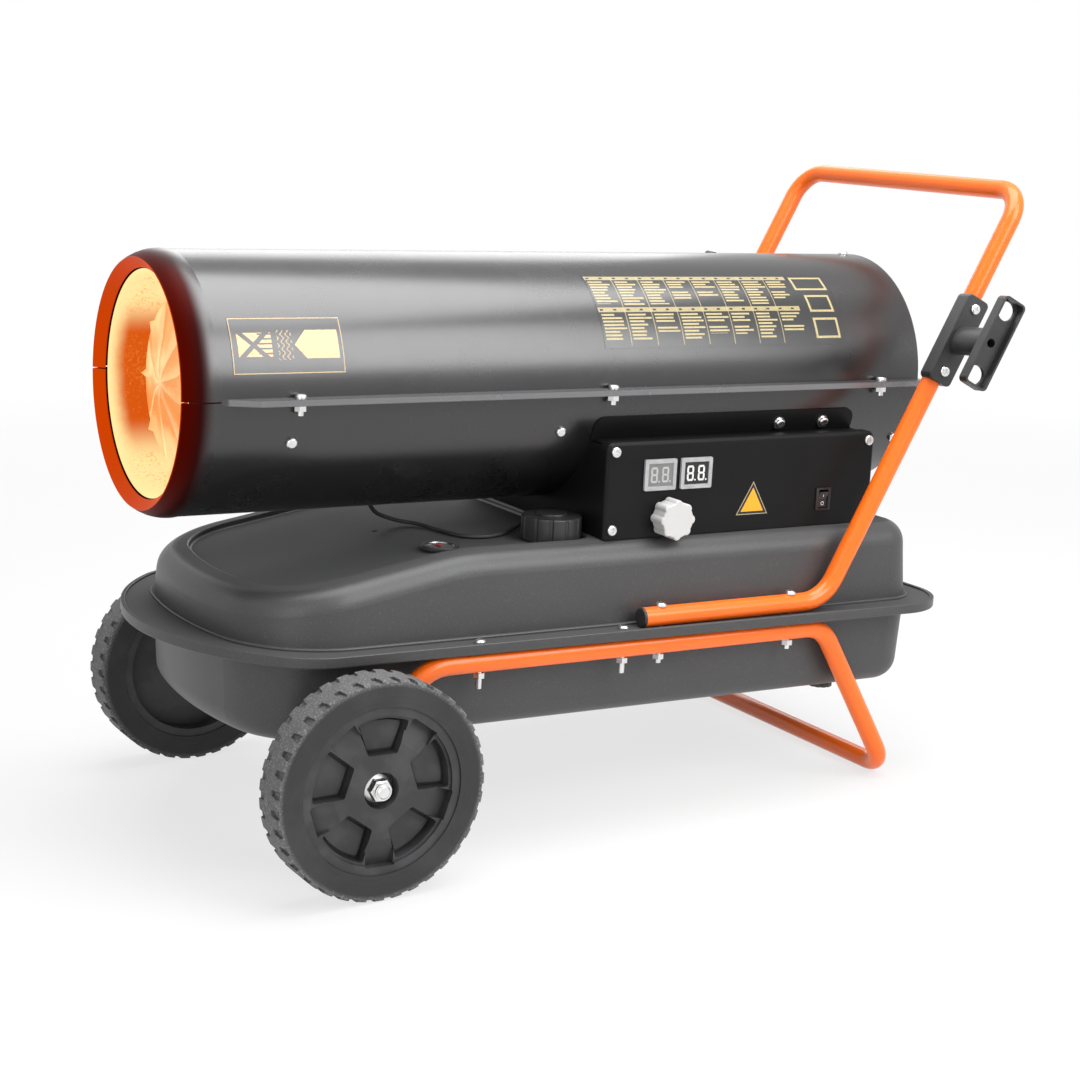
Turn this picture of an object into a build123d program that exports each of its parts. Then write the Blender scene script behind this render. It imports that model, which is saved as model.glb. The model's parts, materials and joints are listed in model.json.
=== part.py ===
from build123d import *

import os
from math import asin, atan2, cos, degrees, hypot, radians, sin, sqrt, tan

# Oil-fired air heater on two wheels, in millimetres.
# Chassis axes: X runs along the barrel from the hot-air mouth (low X) to the handle (high X),
# Z is square to the barrel, Y is across, and the origin is the middle of the wheel axle.
# The near side, with the control panel, is at negative Y.

# Clearances
cut_overrun = 4.0
seat_gap = 0.05
running_gap = 0.05
hole_gap = 0.15
curve_gap = 0.3

# Wheels and axle
wheel_radius = 100.0
wheel_width = 39.0
wheel_gap = 18.5
tyre_inner_radius = 76.0
tyre_edge_radius = 2.5
hub_rim_wall = 8.0
hub_rim_inset = 1.5
hub_spoke_face_inset = 4.0
hub_pocket_depth = 12.0
hub_pocket_corner = 2.5
hub_pad_height = 4.0
hub_pad_inset = 3.5
hub_web = 5.0
hub_core_radius = 32.5
hub_bore_boss_radius = 15.0
hub_counterbore_radius = 16.5
hub_pocket_start_width = 28.0
hub_pocket_end_width = 54.0
spoke_count = 5
spoke_ramp_start = 44.0
spoke_ramp_drop = 6.0
tread_notch_count = 36
tread_notch_depth = 2.6
tread_notch_length = 12.0
tread_notch_width = 9.5
tread_notch_end_width = 5.0
bush_radius = 9.0
axle_radius = 6.0
axle_tip = 2.0
axle_washer_radius = 12.0
axle_washer = 2.0
axle_nut_across_flats = 18.0
axle_nut_height = 10.5
axle_nut_flange_radius = 13.0
axle_nut_flange = 2.6
axle_nut_flange_edge = 1.2
axle_nut_collar_radius = 7.8
axle_nut_collar = 3.5
nut_corner_slope = 0.6
sleeve_radius = 10.0
sleeve_length = 24.0

# Bent tubes of frame and handle
tube_radius = 9.5
tube_wall = 1.5
tube_half_track = 179.5
frame_front_x = 67.5
frame_rear_x = 512.0
frame_leg_x = 608.5
frame_leg_drop = 68.0
frame_front_bend = 45.0
frame_rear_bend = 35.0
frame_foot_bend = 28.0
handle_open_end_x = 296.5
handle_bend_x = 510.5
handle_top_x = 727.5
handle_top_z = 523.5
handle_low_bend = 42.0
handle_top_bend = 32.0
plug_cap = 3.0
plug_depth = 14.0
frame_bolt_places = (121.5, 275.5)
handle_bolt_places = (316.5, 469.5)

# Tank
rim_low = 99.5
rim_thickness = 8.0
rim_front = -138.5
rim_rear_width = 28.0
rim_front_margin = 7.5
rim_rear_margin = 20.5
rim_bow = 233.0
rim_front_corner = 70.0
rim_rear_corner = 60.0
rim_edge_radius = 1.5
rim_lip_width = 4.0
rim_lip_height = 1.8
rim_lip_radius = 0.8
wall_bead_width = 3.5
wall_bead_height = 2.5
wall_front = -96.0
box_to_wall_rear = 54.0
wall_front_inset = 26.0
wall_rear_inset = 31.0
wall_bow = 450.0
wall_front_corner = 95.0
wall_rear_corner = 36.0
tank_wall = 3.0
tank_bottom = 18.0
tank_bottom_edge = 24.0
tank_draft = 3.0
top_draft = 5.0
tank_top_level = 186.0
tank_nose_level = 148.0
tank_slope_end = 118.0
tank_slope_blend = 250.0
tank_top_edge = 24.0
dish_depth = 6.0
dish_inset = 33.0
dish_to_box = 0.5
dish_edge_radius = 2.8
dimple_x = 100.0
dimple_y = -3.0
dimple_radius = 3.0
dish_corner = 24.0
drain_x = 563.0
drain_inset = 49.0
drain_radius = 9.0
drain_cap_share = 1.45
level_edge_share = 0.99

# Filler, gauge
cap_to_box = 31.0
cap_inset = 60.0
cap_radius = 29.0
cap_height = 22.5
cap_dome = 2.5
cap_dome_radius = 15.0
cap_top_wall = 3.0
cap_groove_count = 12
cap_groove_radius = 2.2
neck_radius = 24.5
neck_bore_radius = 20.0
neck_height = 18.5
neck_flange_radius = 27.0
neck_flange = 1.2
gasket_thickness = 1.5
strainer_wall = 1.0
strainer_length = 65.0
gauge_x = 118.0
gauge_inset = 59.0
gauge_radius = 18.0
gauge_bezel = 3.0
gauge_glass_radius = 14.0
gauge_glass_depth = 1.0
gauge_body_radius = 12.0
gauge_stem_radius = 2.5
gauge_float_radius = 11.0
gauge_float_height = 14.0
gauge_depth = 120.0

# Barrel
barrel_radius = 120.0
barrel_lift = 18.5
barrel_front = -142.0
barrel_overhang = 71.0
shell_sheet = 1.2
nose_length = 31.5
nose_drop = 7.5
mouth_lip = 9.3
mouth_depth = 8.6
nose_bulge_angle = 45.0
seam_gap = 0.6
flange_width = 15.0
flange_thickness = 3.0
flange_front = -108.0
flange_taper = 30.0
seam_bolt_offset = 7.5
seam_bolt_front = 104.0
seam_bolt_middle = 283.0
seam_bolt_rear = 55.0

# Fasteners of nominal 6 mm and 5 mm
bolt_radius = 3.0
bolt_head_radius = 5.3
bolt_head_height = 3.6
nut_across_flats = 10.0
nut_height = 5.0
bolt_tail = 4.0
frame_bolt_tail = 6.0
screw_radius = 2.4
screw_head_radius = 5.2
screw_head_height = 3.0
screw_length = 12.0
recess_width = 1.2
recess_length = 5.0
recess_depth = 1.4
bolt_dome_share = 0.6

# Liner, chamber and baffle
liner_gap = 0.6
liner_sheet = 1.0
liner_front = -131.0
liner_rear = 258.0
chamber_gap = 15.6
chamber_sheet = 1.2
chamber_front = -84.0
chamber_rear = 250.0
stand_off_radius = 6.0
stand_off_places = (-40.0, 235.0)
stand_off_angle = 18.5
swirl_slot_count = 8
swirl_slot_length = 26.0
swirl_slot_width = 5.0
swirl_slot_inset = 35.0
swirl_turn = 30.0
burner_port_radius = 20.0
baffle_gap = 28.6
baffle_plane = -104.0
baffle_dish = 14.0
baffle_sheet = 1.5
baffle_fold_count = 8
baffle_fold_radius = 5.0
baffle_fold_tip = 1.2
baffle_flat_radius = 12.0
tab_width = 24.0
tab_foot = 14.0

# Burner head
burner_radius = 17.0
burner_length = 46.0
nozzle_across_flats = 15.0
nozzle_length = 22.0
nozzle_tip_radius = 4.0
nozzle_tip_length = 6.0
nozzle_seat = 4.0
electrode_angle = 180.0
electrode_offset = 30.0
electrode_radius = 5.0
electrode_length = 44.0
electrode_pin_radius = 1.2
electrode_pin_length = 22.0
photocell_angle = 202.5
photocell_inset = 29.0
photocell_radius = 8.0
photocell_length = 24.0
photocell_collar = 1.5

# Motor, fan and pump
motor_radius = 46.0
motor_front = 425.0
motor_rear = 553.0
motor_rib_count = 16
motor_rib = 2.5
motor_bell = 18.0
motor_foot_height = 6.0
motor_foot_share = 0.6
shaft_radius = 6.35
shaft_front = 344.0
shaft_rear = 592.0
fan_gap = 20.8
fan_hub_radius = 20.0
fan_hub_front = 352.0
fan_hub_length = 34.0
fan_blade_count = 5
fan_blade_chord = 62.0
fan_blade_camber = 7.0
fan_blade_sheet = 1.6
fan_blade_pitch = 32.0
fan_root_share = 0.7
pump_radius = 45.0
pump_length = 18.0
pump_bore_radius = 28.5
pump_rotor_radius = 25.5
pump_offset = 2.0
pump_cover_length = 24.0
vane_slot_width = 5.0
vane_slot_depth = 9.0
vane_count = 4
pressure_gauge_radius = 15.0
pressure_gauge_length = 14.0
pressure_gauge_offset = 22.0
bracket_front = 475.0
bracket_rear = 558.0
bracket_sheet = 2.0
bracket_bolt_places = (489.0, 543.5)
bracket_bolt_angle = 18.2
bracket_flange_low_angle = 25.0
bracket_flange_high_angle = 11.0
hose_radius = 4.0
air_hose_angle = 60.0
air_hose_gap = 10.8
air_hose_bend = 20.0
air_hose_burner_x = 270.0
fuel_hose_x = 286.0
fuel_fitting_radius = 7.0
fuel_fitting_height = 6.0

# Rear guard
guard_inset = 9.0
guard_band_width = 8.0
guard_band = 1.5
guard_wire = 3.0
guard_ring_count = 6
guard_ring_inner_radius = 16.0
guard_spoke_count = 6
guard_screw_inset = 14.5
guard_screw_angles = (-90.0, 30.0, 150.0)

# Control box
box_front_x = 269.0
box_rear_x = 590.0
box_top_drop = 45.5
box_face_gap = 25.0
box_back_inset = 2.0
box_sheet = 1.5
cover_depth = 14.0
cover_corner = 8.0
cover_edge = 4.0
box_side_lip = 18.0
box_edge_lip = 5.0
saddle_top_drop = 25.5
saddle_rear_inset = 8.0
saddle_corner = 12.0
panel_screw_inset = 9.0
base_screw_inset_x = 26.0
base_screw_inset_y = 30.0

# Panel fittings
display_width = 36.0
display_height = 30.0
display_bezel = 2.5
display_left_inset = 60.0
display_spacing = 41.5
display_drop = 32.5
display_body_inset = 1.5
display_body_depth = 16.0
display_window_inset = 4.0
display_window_depth = 0.8
knob_inset = 71.5
knob_rise = 18.8
knob_radius = 19.5
knob_height = 19.0
knob_stand = 1.2
knob_lobe_count = 8
knob_lobe_radius = 9.0
knob_edge = 1.5
dial_shaft_radius = 3.0
dial_bush_radius = 4.8
dial_bush_height = 5.0
dial_body_radius = 11.0
dial_body_depth = 12.0
dial_shaft_top = 15.0
switch_inset = 62.0
switch_rise = 26.5
switch_width = 18.0
switch_height = 22.5
switch_bezel = 1.6
switch_body_inset = 1.2
switch_body_depth = 20.0
rocker_width = 11.0
rocker_length = 16.0
rocker_front = 4.6
rocker_depth = 5.0
rocker_hollow = 1.6
rocker_throw = 8.0
rocker_pin_radius = 1.2
rocker_pin_length = 1.2
rocker_heel_share = 0.35
board_length = 74.0
board_to_switch = 22.0
board_rise = 12.0
board_drop = 17.0
board_sheet = 1.6
board_stand_off = 10.0
board_stand_off_radius = 2.5
board_inset = 6.0
relay_shares = (0.25, 0.55)
transformer_inset_x = 103.0
transformer_inset_y = 30.0
transformer_length = 90.0
transformer_width = 46.0
transformer_height = 26.0
transformer_terminal_radius = 4.0
gland_inset = 53.0
gland_rise = 28.0
gland_bore_radius = 4.2
gland_thread_radius = 7.5
gland_flats = 19.0
gland_outside = 20.0
gland_inside = 9.0
gland_flange = 6.0

# Sensor cable
cable_radius = 2.0
cable_exit_x = 98.0
cable_exit_y = 9.0
cable_box_y = -48.0
cable_box_rise = 11.0
cable_lift = 0.3
cable_arc_share = 0.45

# Cable hooks
hook_place = 292.5
hook_turn = 9.0
hook_length = 94.0
hook_width = 27.0
hook_corner = 5.0
hook_face = 15.0
hook_wrap = 3.0
hook_reach = 62.0
hook_plate = 12.0
hook_plate_floor = 4.0
hook_plate_wall = 2.2
hook_post_long = 15.0
hook_post_short = 9.5
hook_hole_radius = 9.6
hook_hole_offset = 34.9
hook_centre_hole = 4.5

# Values that follow
barrel_height = tank_top_level + barrel_lift + barrel_radius
barrel_rear = box_rear_x + barrel_overhang
nose_radius = barrel_radius - nose_drop
mouth_radius = nose_radius - mouth_lip
liner_radius = mouth_radius - liner_gap
chamber_radius = liner_radius - chamber_gap
swirl_slot_radius = chamber_radius - swirl_slot_inset
baffle_radius = liner_radius - baffle_gap
photocell_offset = chamber_radius - photocell_inset
fan_radius = barrel_radius - shell_sheet - fan_gap
air_hose_lane_radius = barrel_radius - shell_sheet - air_hose_gap
guard_plane = barrel_rear - guard_inset
guard_screw_x = barrel_rear - guard_screw_inset
seam_bolt_places = (barrel_front + seam_bolt_front, seam_bolt_middle, barrel_rear - seam_bolt_rear)
wall_rear = box_rear_x + box_to_wall_rear
rim_rear = wall_rear + rim_rear_width
rim_front_half = tube_half_track + rim_front_margin
rim_rear_half = tube_half_track + rim_rear_margin
wall_front_half = rim_front_half - wall_front_inset
wall_rear_half = rim_rear_half - wall_rear_inset
wheel_inner_half = tube_half_track + wheel_gap
drain_y = drain_inset - wall_rear_half
cap_x = box_front_x - cap_to_box
cap_y = cap_inset - wall_front_half
gauge_y = gauge_inset - wall_front_half
box_top = barrel_height - box_top_drop
box_face_y = -barrel_radius - box_face_gap
box_back_y = barrel_radius - box_back_inset
saddle_top = barrel_height - saddle_top_drop
base_screw_y = box_back_y - base_screw_inset_y
display_left_x = box_front_x + display_left_inset
display_centres_x = (display_left_x, display_left_x + display_spacing)
display_z = box_top - display_drop
knob_x = box_front_x + knob_inset
knob_z = tank_top_level + knob_rise
switch_x = box_rear_x - switch_inset
switch_z = tank_top_level + switch_rise
board_rear_x = switch_x - board_to_switch
board_front_x = board_rear_x - board_length
board_low = tank_top_level + board_rise
board_high = box_top - board_drop
transformer_x = box_front_x + transformer_inset_x
transformer_y = box_back_y - transformer_inset_y
gland_y = box_face_y + gland_inset
gland_z = tank_top_level + gland_rise
cable_box_z = tank_top_level + cable_box_rise
rim_top = rim_low + rim_thickness
rim_middle = rim_low + rim_thickness / 2
frame_z = rim_low - tube_radius
handle_z = rim_top + tube_radius
frame_bar_z = -frame_leg_drop
leg_reach = hypot(frame_leg_x, frame_leg_drop)
tilt = atan2(-frame_leg_drop, frame_leg_x) + asin((wheel_radius - tube_radius) / leg_reach)
axle_half_length = wheel_inner_half + wheel_width + axle_tip
shell_inner = barrel_radius - shell_sheet
liner_inner = liner_radius - liner_sheet
chamber_inner = chamber_radius - chamber_sheet
saddle_inner = barrel_radius + seat_gap
saddle_outer = saddle_inner + box_sheet
box_floor = tank_top_level + box_sheet
dish_floor = tank_top_level - dish_depth
dish_rear = box_front_x - dish_to_box
neck_top = dish_floor + neck_height
cap_ceiling = neck_top + strainer_wall + gasket_thickness + 2 * seat_gap
handle_lean = atan2(handle_top_z - handle_z, handle_top_x - handle_bend_x)
sides = (-1, 1)


def ring(outer, inner, low, high):
    """Tube or, with no inner radius, a disc about Z."""
    section = Circle(outer)
    if inner:
        section -= Circle(inner)
    return Pos(0, 0, low) * extrude(section, high - low)


def hexagon(across_flats, low, high):
    return Pos(0, 0, low) * extrude(RegularPolygon(across_flats / 2, 6, major_radius=False), high - low)


def block(x_low, x_high, y_low, y_high, z_low, z_high):
    middle = Pos((x_low + x_high) / 2, (y_low + y_high) / 2, (z_low + z_high) / 2)
    return middle * Box(x_high - x_low, y_high - y_low, z_high - z_low)


def centred_block(width, height, inset, low, high):
    """Block centred on Z, its sides moved in by inset."""
    return Pos(0, 0, (low + high) / 2) * Box(width - 2 * inset, height - 2 * inset, high - low)


def along_barrel(shape):
    """Lays a shape made about Z along the barrel, so that its Z becomes chassis X."""
    return Pos(0, 0, barrel_height) * Rot(0, 90, 0) * shape


def barrel_spoke(x, angle):
    """Place on the barrel axis with local Z pointing out; angle is measured down from the near side."""
    out = (0, -cos(radians(angle)), -sin(radians(angle)))
    return Plane(origin=(x, 0, barrel_height), x_dir=(1, 0, 0), z_dir=out)


def both_angles(angle):
    return (angle, 180 - angle)


def facing_out(x, z, y=box_face_y):
    """Place on the control panel with local X along the panel, Y up and Z out of the panel."""
    return Plane(origin=(x, y, z), x_dir=(1, 0, 0), z_dir=(0, -1, 0))


def bent_tube(points, bends, outer, inner=0):
    path = FilletPolyline(*points, radius=bends)
    section = Circle(outer)
    if inner:
        section -= Circle(inner)
    start = Plane(origin=path @ 0, z_dir=path % 0)
    return sweep(start * section, path=path)


def bolt(length, head_radius=bolt_head_radius, head_height=bolt_head_height, radius=bolt_radius):
    """Round-headed bolt, seat of the head at zero, shank down Z."""
    head = ring(head_radius, 0, 0, head_height)
    head = fillet(head.edges().group_by(Axis.Z)[-1], head_height * bolt_dome_share)
    return head + ring(radius, 0, -length, 0)


def screw(length=screw_length):
    head = bolt(length, screw_head_radius, screw_head_height, screw_radius)
    slot = Pos(0, 0, screw_head_height) * Box(recess_length, recess_width, 2 * recess_depth)
    return head - slot - Rot(0, 0, 90) * slot


def nut(across_flats=nut_across_flats, height=nut_height, bore=bolt_radius + running_gap):
    return hexagon(across_flats, 0, height) - ring(bore, 0, -height, 2 * height)


# Wheels

def outward(side):
    """Turns a wheel made about Z so that its Z points out of the given side, one spoke straight down."""
    return Pos(0, side * wheel_inner_half, 0) * Rot(-90 * side, 0, 0) * Rot(0, 0, 90 * (1 - side))


def wheel_hub():
    rim_outer = tyre_inner_radius - hole_gap
    rim_inner = tyre_inner_radius - hub_rim_wall
    face = wheel_width - hub_spoke_face_inset
    web = face - hub_pocket_depth
    hub = ring(rim_outer, rim_inner, hub_rim_inset, wheel_width - hub_rim_inset)
    hub += ring(rim_outer - hub_rim_wall / 2, 0, web - hub_web, face)
    hub += ring(hub_bore_boss_radius, 0, hub_rim_inset, web)
    hollow = pocket(web, face + cut_overrun, 0) - pocket(0, web + hub_pad_height, hub_pad_inset)
    for index in range(spoke_count):
        hub -= Rot(0, 0, 90 + (index + 0.5) * 360 / spoke_count) * hollow
        hub -= Rot(0, 0, 90 + index * 360 / spoke_count) * spoke_ramp(rim_inner, face)
    hub -= ring(hub_counterbore_radius, 0, web, wheel_width)
    return hub - ring(bush_radius, 0, -cut_overrun, wheel_width)


def pocket(low, high, inset):
    """Space between two spokes along X: it widens to the rim, where it ends in an arc."""
    outer = tyre_inner_radius - hub_rim_wall
    lean = (hub_pocket_end_width - hub_pocket_start_width) / 2 / (outer - hub_core_radius)
    start = hub_core_radius + inset
    widths = [hub_pocket_start_width / 2 + lean * (x - hub_core_radius) - inset for x in (start, outer)]
    plan = make_face(
        Polyline(
            (start, -widths[0]),
            (outer, -widths[1]),
            (outer, widths[1]),
            (start, widths[0]),
            close=True,
        )
    )
    plan = plan & Circle(outer - hub_pocket_corner - inset)
    plan = fillet(plan.vertices(), hub_pocket_corner)
    return Pos(0, 0, low) * extrude(plan, high - low)


def spoke_ramp(rim_inner, face):
    """Wedge along X that lets a spoke fall away towards the rim."""
    side_view = make_face(
        Polyline(
            (spoke_ramp_start, face),
            (rim_inner, face - spoke_ramp_drop),
            (rim_inner, face + spoke_ramp_drop),
            (spoke_ramp_start, face + spoke_ramp_drop),
            close=True,
        )
    )
    return extrude(Plane.XZ * side_view, hub_pocket_end_width / 4, both=True)


def tyre():
    body = ring(wheel_radius, tyre_inner_radius, 0, wheel_width)
    rims = [edge for edge in body.edges().filter_by(GeomType.CIRCLE) if edge.radius > tyre_inner_radius]
    body = fillet(rims, tyre_edge_radius)
    plan = make_face(
        Polyline(
            (-tread_notch_width / 2, -cut_overrun),
            (tread_notch_width / 2, -cut_overrun),
            (tread_notch_end_width / 2, tread_notch_length),
            (-tread_notch_end_width / 2, tread_notch_length),
            close=True,
        )
    )
    floor = Plane(origin=(wheel_radius - tread_notch_depth, 0, 0), x_dir=(0, 1, 0), z_dir=(1, 0, 0))
    notch = extrude(floor * plan, 2 * tread_notch_depth, dir=(1, 0, 0))
    facing = mirror(notch, about=Plane.XY)
    step = 360 / tread_notch_count
    cutters = []
    for index in range(tread_notch_count):
        cutters.append(Rot(0, 0, index * step) * notch)
        cutters.append(Rot(0, 0, (index + 0.5) * step) * Pos(0, 0, wheel_width) * facing)
    return body - cutters


def bush():
    end = wheel_width - hub_spoke_face_inset - hub_pocket_depth
    return ring(bush_radius - hole_gap / 2, axle_radius + running_gap, hub_rim_inset, end)


def axle():
    rod = ring(axle_radius, 0, -axle_half_length, axle_half_length)
    return Rot(90, 0, 0) * chamfer(rod.edges(), axle_radius / 6)


def axle_spacers():
    """Spacer tubes between frame sleeves and wheels, and washers under the nuts."""
    sleeve_end = tube_half_track + sleeve_length / 2
    bore = axle_radius + running_gap
    wheel_face = wheel_width - hub_spoke_face_inset - hub_pocket_depth
    parts = []
    for side in sides:
        inner = ring(
            sleeve_radius, bore, sleeve_end - wheel_inner_half + seat_gap, hub_rim_inset - curve_gap / 2
        )
        outer = ring(axle_washer_radius, bore, wheel_face + curve_gap / 2, wheel_face + axle_washer)
        parts += [outward(side) * inner, outward(side) * outer]
    return parts


def axle_nuts():
    """Flanged lock nuts with a collar round the end of the axle."""
    low = wheel_width - hub_spoke_face_inset - hub_pocket_depth + axle_washer + seat_gap
    top = low + axle_nut_height
    flat = axle_nut_across_flats / 2
    corners = Cone(flat + axle_nut_height / nut_corner_slope, flat, axle_nut_height)
    whole = hexagon(axle_nut_across_flats, low, top) & (Pos(0, 0, (low + top) / 2) * corners)
    whole += ring(axle_nut_flange_radius, 0, low, low + axle_nut_flange_edge)
    slope = axle_nut_flange - axle_nut_flange_edge
    middle = low + axle_nut_flange_edge + slope / 2
    whole += Pos(0, 0, middle) * Cone(axle_nut_flange_radius, flat, slope)
    whole += ring(axle_nut_collar_radius, 0, low, top + axle_nut_collar)
    whole -= ring(axle_radius + running_gap, 0, 0, 2 * wheel_width)
    return [outward(side) * whole for side in sides]


# Frame and handle

def frame_tube():
    corners = []
    for side in sides:
        y = side * tube_half_track
        run = [
            (0, y, 0),
            (frame_front_x, y, frame_z),
            (frame_rear_x, y, frame_z),
            (frame_leg_x, y, frame_bar_z),
        ]
        corners += run if side < 0 else run[::-1]
    one_side = [frame_front_bend, frame_rear_bend, frame_foot_bend]
    frame = bent_tube(corners, one_side + one_side[::-1], tube_radius)
    for side in sides:
        place = Pos(0, side * tube_half_track, 0) * Rot(90, 0, 0)
        frame += place * ring(sleeve_radius, 0, -sleeve_length / 2, sleeve_length / 2)
    frame -= Rot(90, 0, 0) * ring(axle_radius + hole_gap, 0, -axle_half_length, axle_half_length)
    return frame - through_bolt_holes()


def handle_tube():
    corners = []
    for side in sides:
        y = side * tube_half_track
        run = [
            (handle_open_end_x, y, handle_z),
            (handle_bend_x, y, handle_z),
            (handle_top_x, y, handle_top_z),
        ]
        corners += run if side < 0 else run[::-1]
    one_side = [handle_low_bend, handle_top_bend]
    handle = bent_tube(corners, one_side + one_side[::-1], tube_radius, tube_radius - tube_wall)
    handle -= through_bolt_holes()
    for side in sides:
        for along in sides:
            hole = ring(screw_radius + hole_gap, 0, 0, 2 * tube_radius)
            handle -= hook_axes(side) * Pos(along * hook_hole_offset, 0, 0) * hole
    return handle


def handle_end_plugs():
    plug = ring(tube_radius, 0, -plug_cap, 0)
    plug = fillet(plug.edges().group_by(Axis.Z)[0], plug_cap / 2)
    plug += ring(tube_radius - tube_wall - hole_gap, 0, 0, plug_depth)
    return [Pos(handle_open_end_x, side * tube_half_track, handle_z) * Rot(0, 90, 0) * plug for side in sides]


def through_bolt_holes():
    hole = ring(bolt_radius + hole_gap, 0, frame_z - 2 * tube_radius, handle_z + 2 * tube_radius)
    places = frame_bolt_places + handle_bolt_places
    return [Pos(x, side * tube_half_track, 0) * hole for x in places for side in sides]


def frame_bolts():
    """Four bolts through rim and frame tube, four longer ones that also hold the handle."""
    below = frame_z - tube_radius - seat_gap - nut_height - bolt_tail
    parts = []
    for side in sides:
        for x in frame_bolt_places:
            top = rim_top + seat_gap
            parts.append(Pos(x, side * tube_half_track, top) * bolt(top - below + frame_bolt_tail))
        for x in handle_bolt_places:
            top = handle_z + tube_radius + seat_gap
            parts.append(Pos(x, side * tube_half_track, top) * bolt(top - below))
    return parts


# Tank

def outline(front, rear, front_half, rear_half, bow, front_corner, rear_corner):
    """Plan of the tank: bowed nose, sides that widen to the rear, square rear with rounded corners."""
    corner_x = front + bow - sqrt(bow**2 - front_half**2)
    nose = ThreePointArc((corner_x, front_half), (front, 0), (corner_x, -front_half))
    near = Line((corner_x, -front_half), (rear, -rear_half))
    back = Line((rear, -rear_half), (rear, rear_half))
    far = Line((rear, rear_half), (corner_x, front_half))
    plan = make_face([nose, near, back, far])
    plan = fillet(plan.vertices().group_by(Axis.X)[-1], rear_corner)
    return fillet(plan.vertices().group_by(Axis.X)[0], front_corner)


def rim_outline(inset=0):
    return outline(
        rim_front + inset,
        rim_rear - inset,
        rim_front_half - inset,
        rim_rear_half - inset,
        rim_bow - inset,
        rim_front_corner - inset,
        rim_rear_corner - inset,
    )


def wall_outline(inset=0):
    return outline(
        wall_front + inset,
        wall_rear - inset,
        wall_front_half - inset,
        wall_rear_half - inset,
        wall_bow - inset,
        wall_front_corner - inset,
        wall_rear_corner - inset,
    )


def top_level(x):
    slope = (tank_top_level - tank_nose_level) / (tank_slope_end - wall_front)
    return min(tank_top_level, tank_nose_level + slope * (x - wall_front))


def under_top(drop):
    """Everything below the tank's top line, lowered by drop: a slope up from the nose, then level."""
    front = wall_front - cut_overrun
    rear = wall_rear + cut_overrun
    line = Polyline(
        (front, 0),
        (front, top_level(front) - drop),
        (tank_slope_end, tank_top_level - drop),
        (rear, tank_top_level - drop),
        (rear, 0),
        close=True,
    )
    side_view = make_face(line)
    knee = side_view.vertices().sort_by_distance((tank_slope_end, tank_top_level - drop))[0]
    side_view = fillet(knee, tank_slope_blend)
    return extrude(Plane.XZ * side_view, rim_rear_half, both=True)


def domed(inset, drop, edge_radius):
    """Solid under the tank's top, with its upper edge rounded."""
    height = 2 * tank_top_level - rim_top
    body = Pos(0, 0, rim_top) * extrude(wall_outline(inset), height, taper=top_draft)
    body &= under_top(drop)
    crest = []
    for edge in body.edges():
        middle = edge @ 0.5
        between_ends = wall_front + edge_radius < middle.X < wall_rear - edge_radius
        across = abs((edge % 0.5).Y) > level_edge_share and between_ends
        if abs(middle.Z + drop - top_level(middle.X)) < tank_wall and not across:
            crest.append(edge)
    return fillet(crest, edge_radius)


def tank_top():
    low = rim_middle + seat_gap / 2
    flange = Pos(0, 0, low) * extrude(rim_outline(), rim_top + rim_lip_height - low)
    flange -= Pos(0, 0, rim_top) * extrude(rim_outline(rim_lip_width), rim_thickness)
    flange = fillet(flange.edges().group_by(Axis.Z)[-1], rim_lip_radius)
    bead = Pos(0, 0, rim_top) * extrude(wall_outline(-wall_bead_width), wall_bead_height)
    bead = fillet(bead.edges().group_by(Axis.Z)[-1], wall_bead_height / 2)
    body = domed(0, 0, tank_top_edge) + flange + bead
    dish_plan = outline(
        wall_front + dish_inset,
        dish_rear,
        wall_front_half - dish_inset,
        wall_front_half - dish_inset + dish_widening(),
        wall_bow - dish_inset,
        wall_front_corner - dish_inset,
        dish_corner,
    )
    dish = Pos(0, 0, rim_top) * extrude(dish_plan, tank_top_level) - under_top(dish_depth)
    body = softened(body - dish)
    body -= Pos(dimple_x, dimple_y, dish_level(dimple_x)) * ring(dimple_radius, 0, -tank_wall / 2, tank_wall)
    inner_edge = tank_top_edge - 2 * tank_wall
    cavity = domed(tank_wall, dish_depth + tank_wall, inner_edge)
    opening = extrude(wall_outline(tank_wall), rim_thickness / 2 + cut_overrun)
    cavity += Pos(0, 0, rim_middle - cut_overrun) * opening
    body -= cavity
    body -= Pos(cap_x, cap_y, 0) * ring(neck_radius + hole_gap, 0, rim_top, neck_top)
    body -= Pos(gauge_x, gauge_y, 0) * ring(gauge_body_radius + hole_gap, 0, rim_top, tank_top_level)
    body -= Pos(fuel_hose_x, 0, 0) * ring(fuel_fitting_radius / 2, 0, rim_top, tank_top_level + tank_wall)
    for place in base_screw_places():
        body -= place * ring(screw_radius + hole_gap, 0, -screw_length, cut_overrun)
    return body - through_bolt_holes()


def softened(body):
    """Rounds the edge of the dish and its foot into the walls."""
    for drop in (0, dish_depth):
        ring_edges = []
        for edge in body.edges():
            middle = edge @ 0.5
            reach = wall_front_half - dish_inset + dish_widening() + seat_gap
            along = wall_front + dish_inset - seat_gap < middle.X < dish_rear + seat_gap
            across = abs((edge % 0.5).Y) > level_edge_share and middle.X < dish_rear - seat_gap
            level = abs(middle.Z + drop - top_level(middle.X)) < dish_depth / 3
            if along and level and abs(middle.Y) < reach and not across:
                ring_edges.append(edge)
        body = fillet(ring_edges, dish_edge_radius)
    return body


def dish_widening():
    length = dish_rear - wall_front
    return (wall_rear_half - wall_front_half) * length / (wall_rear - wall_front)


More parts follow.
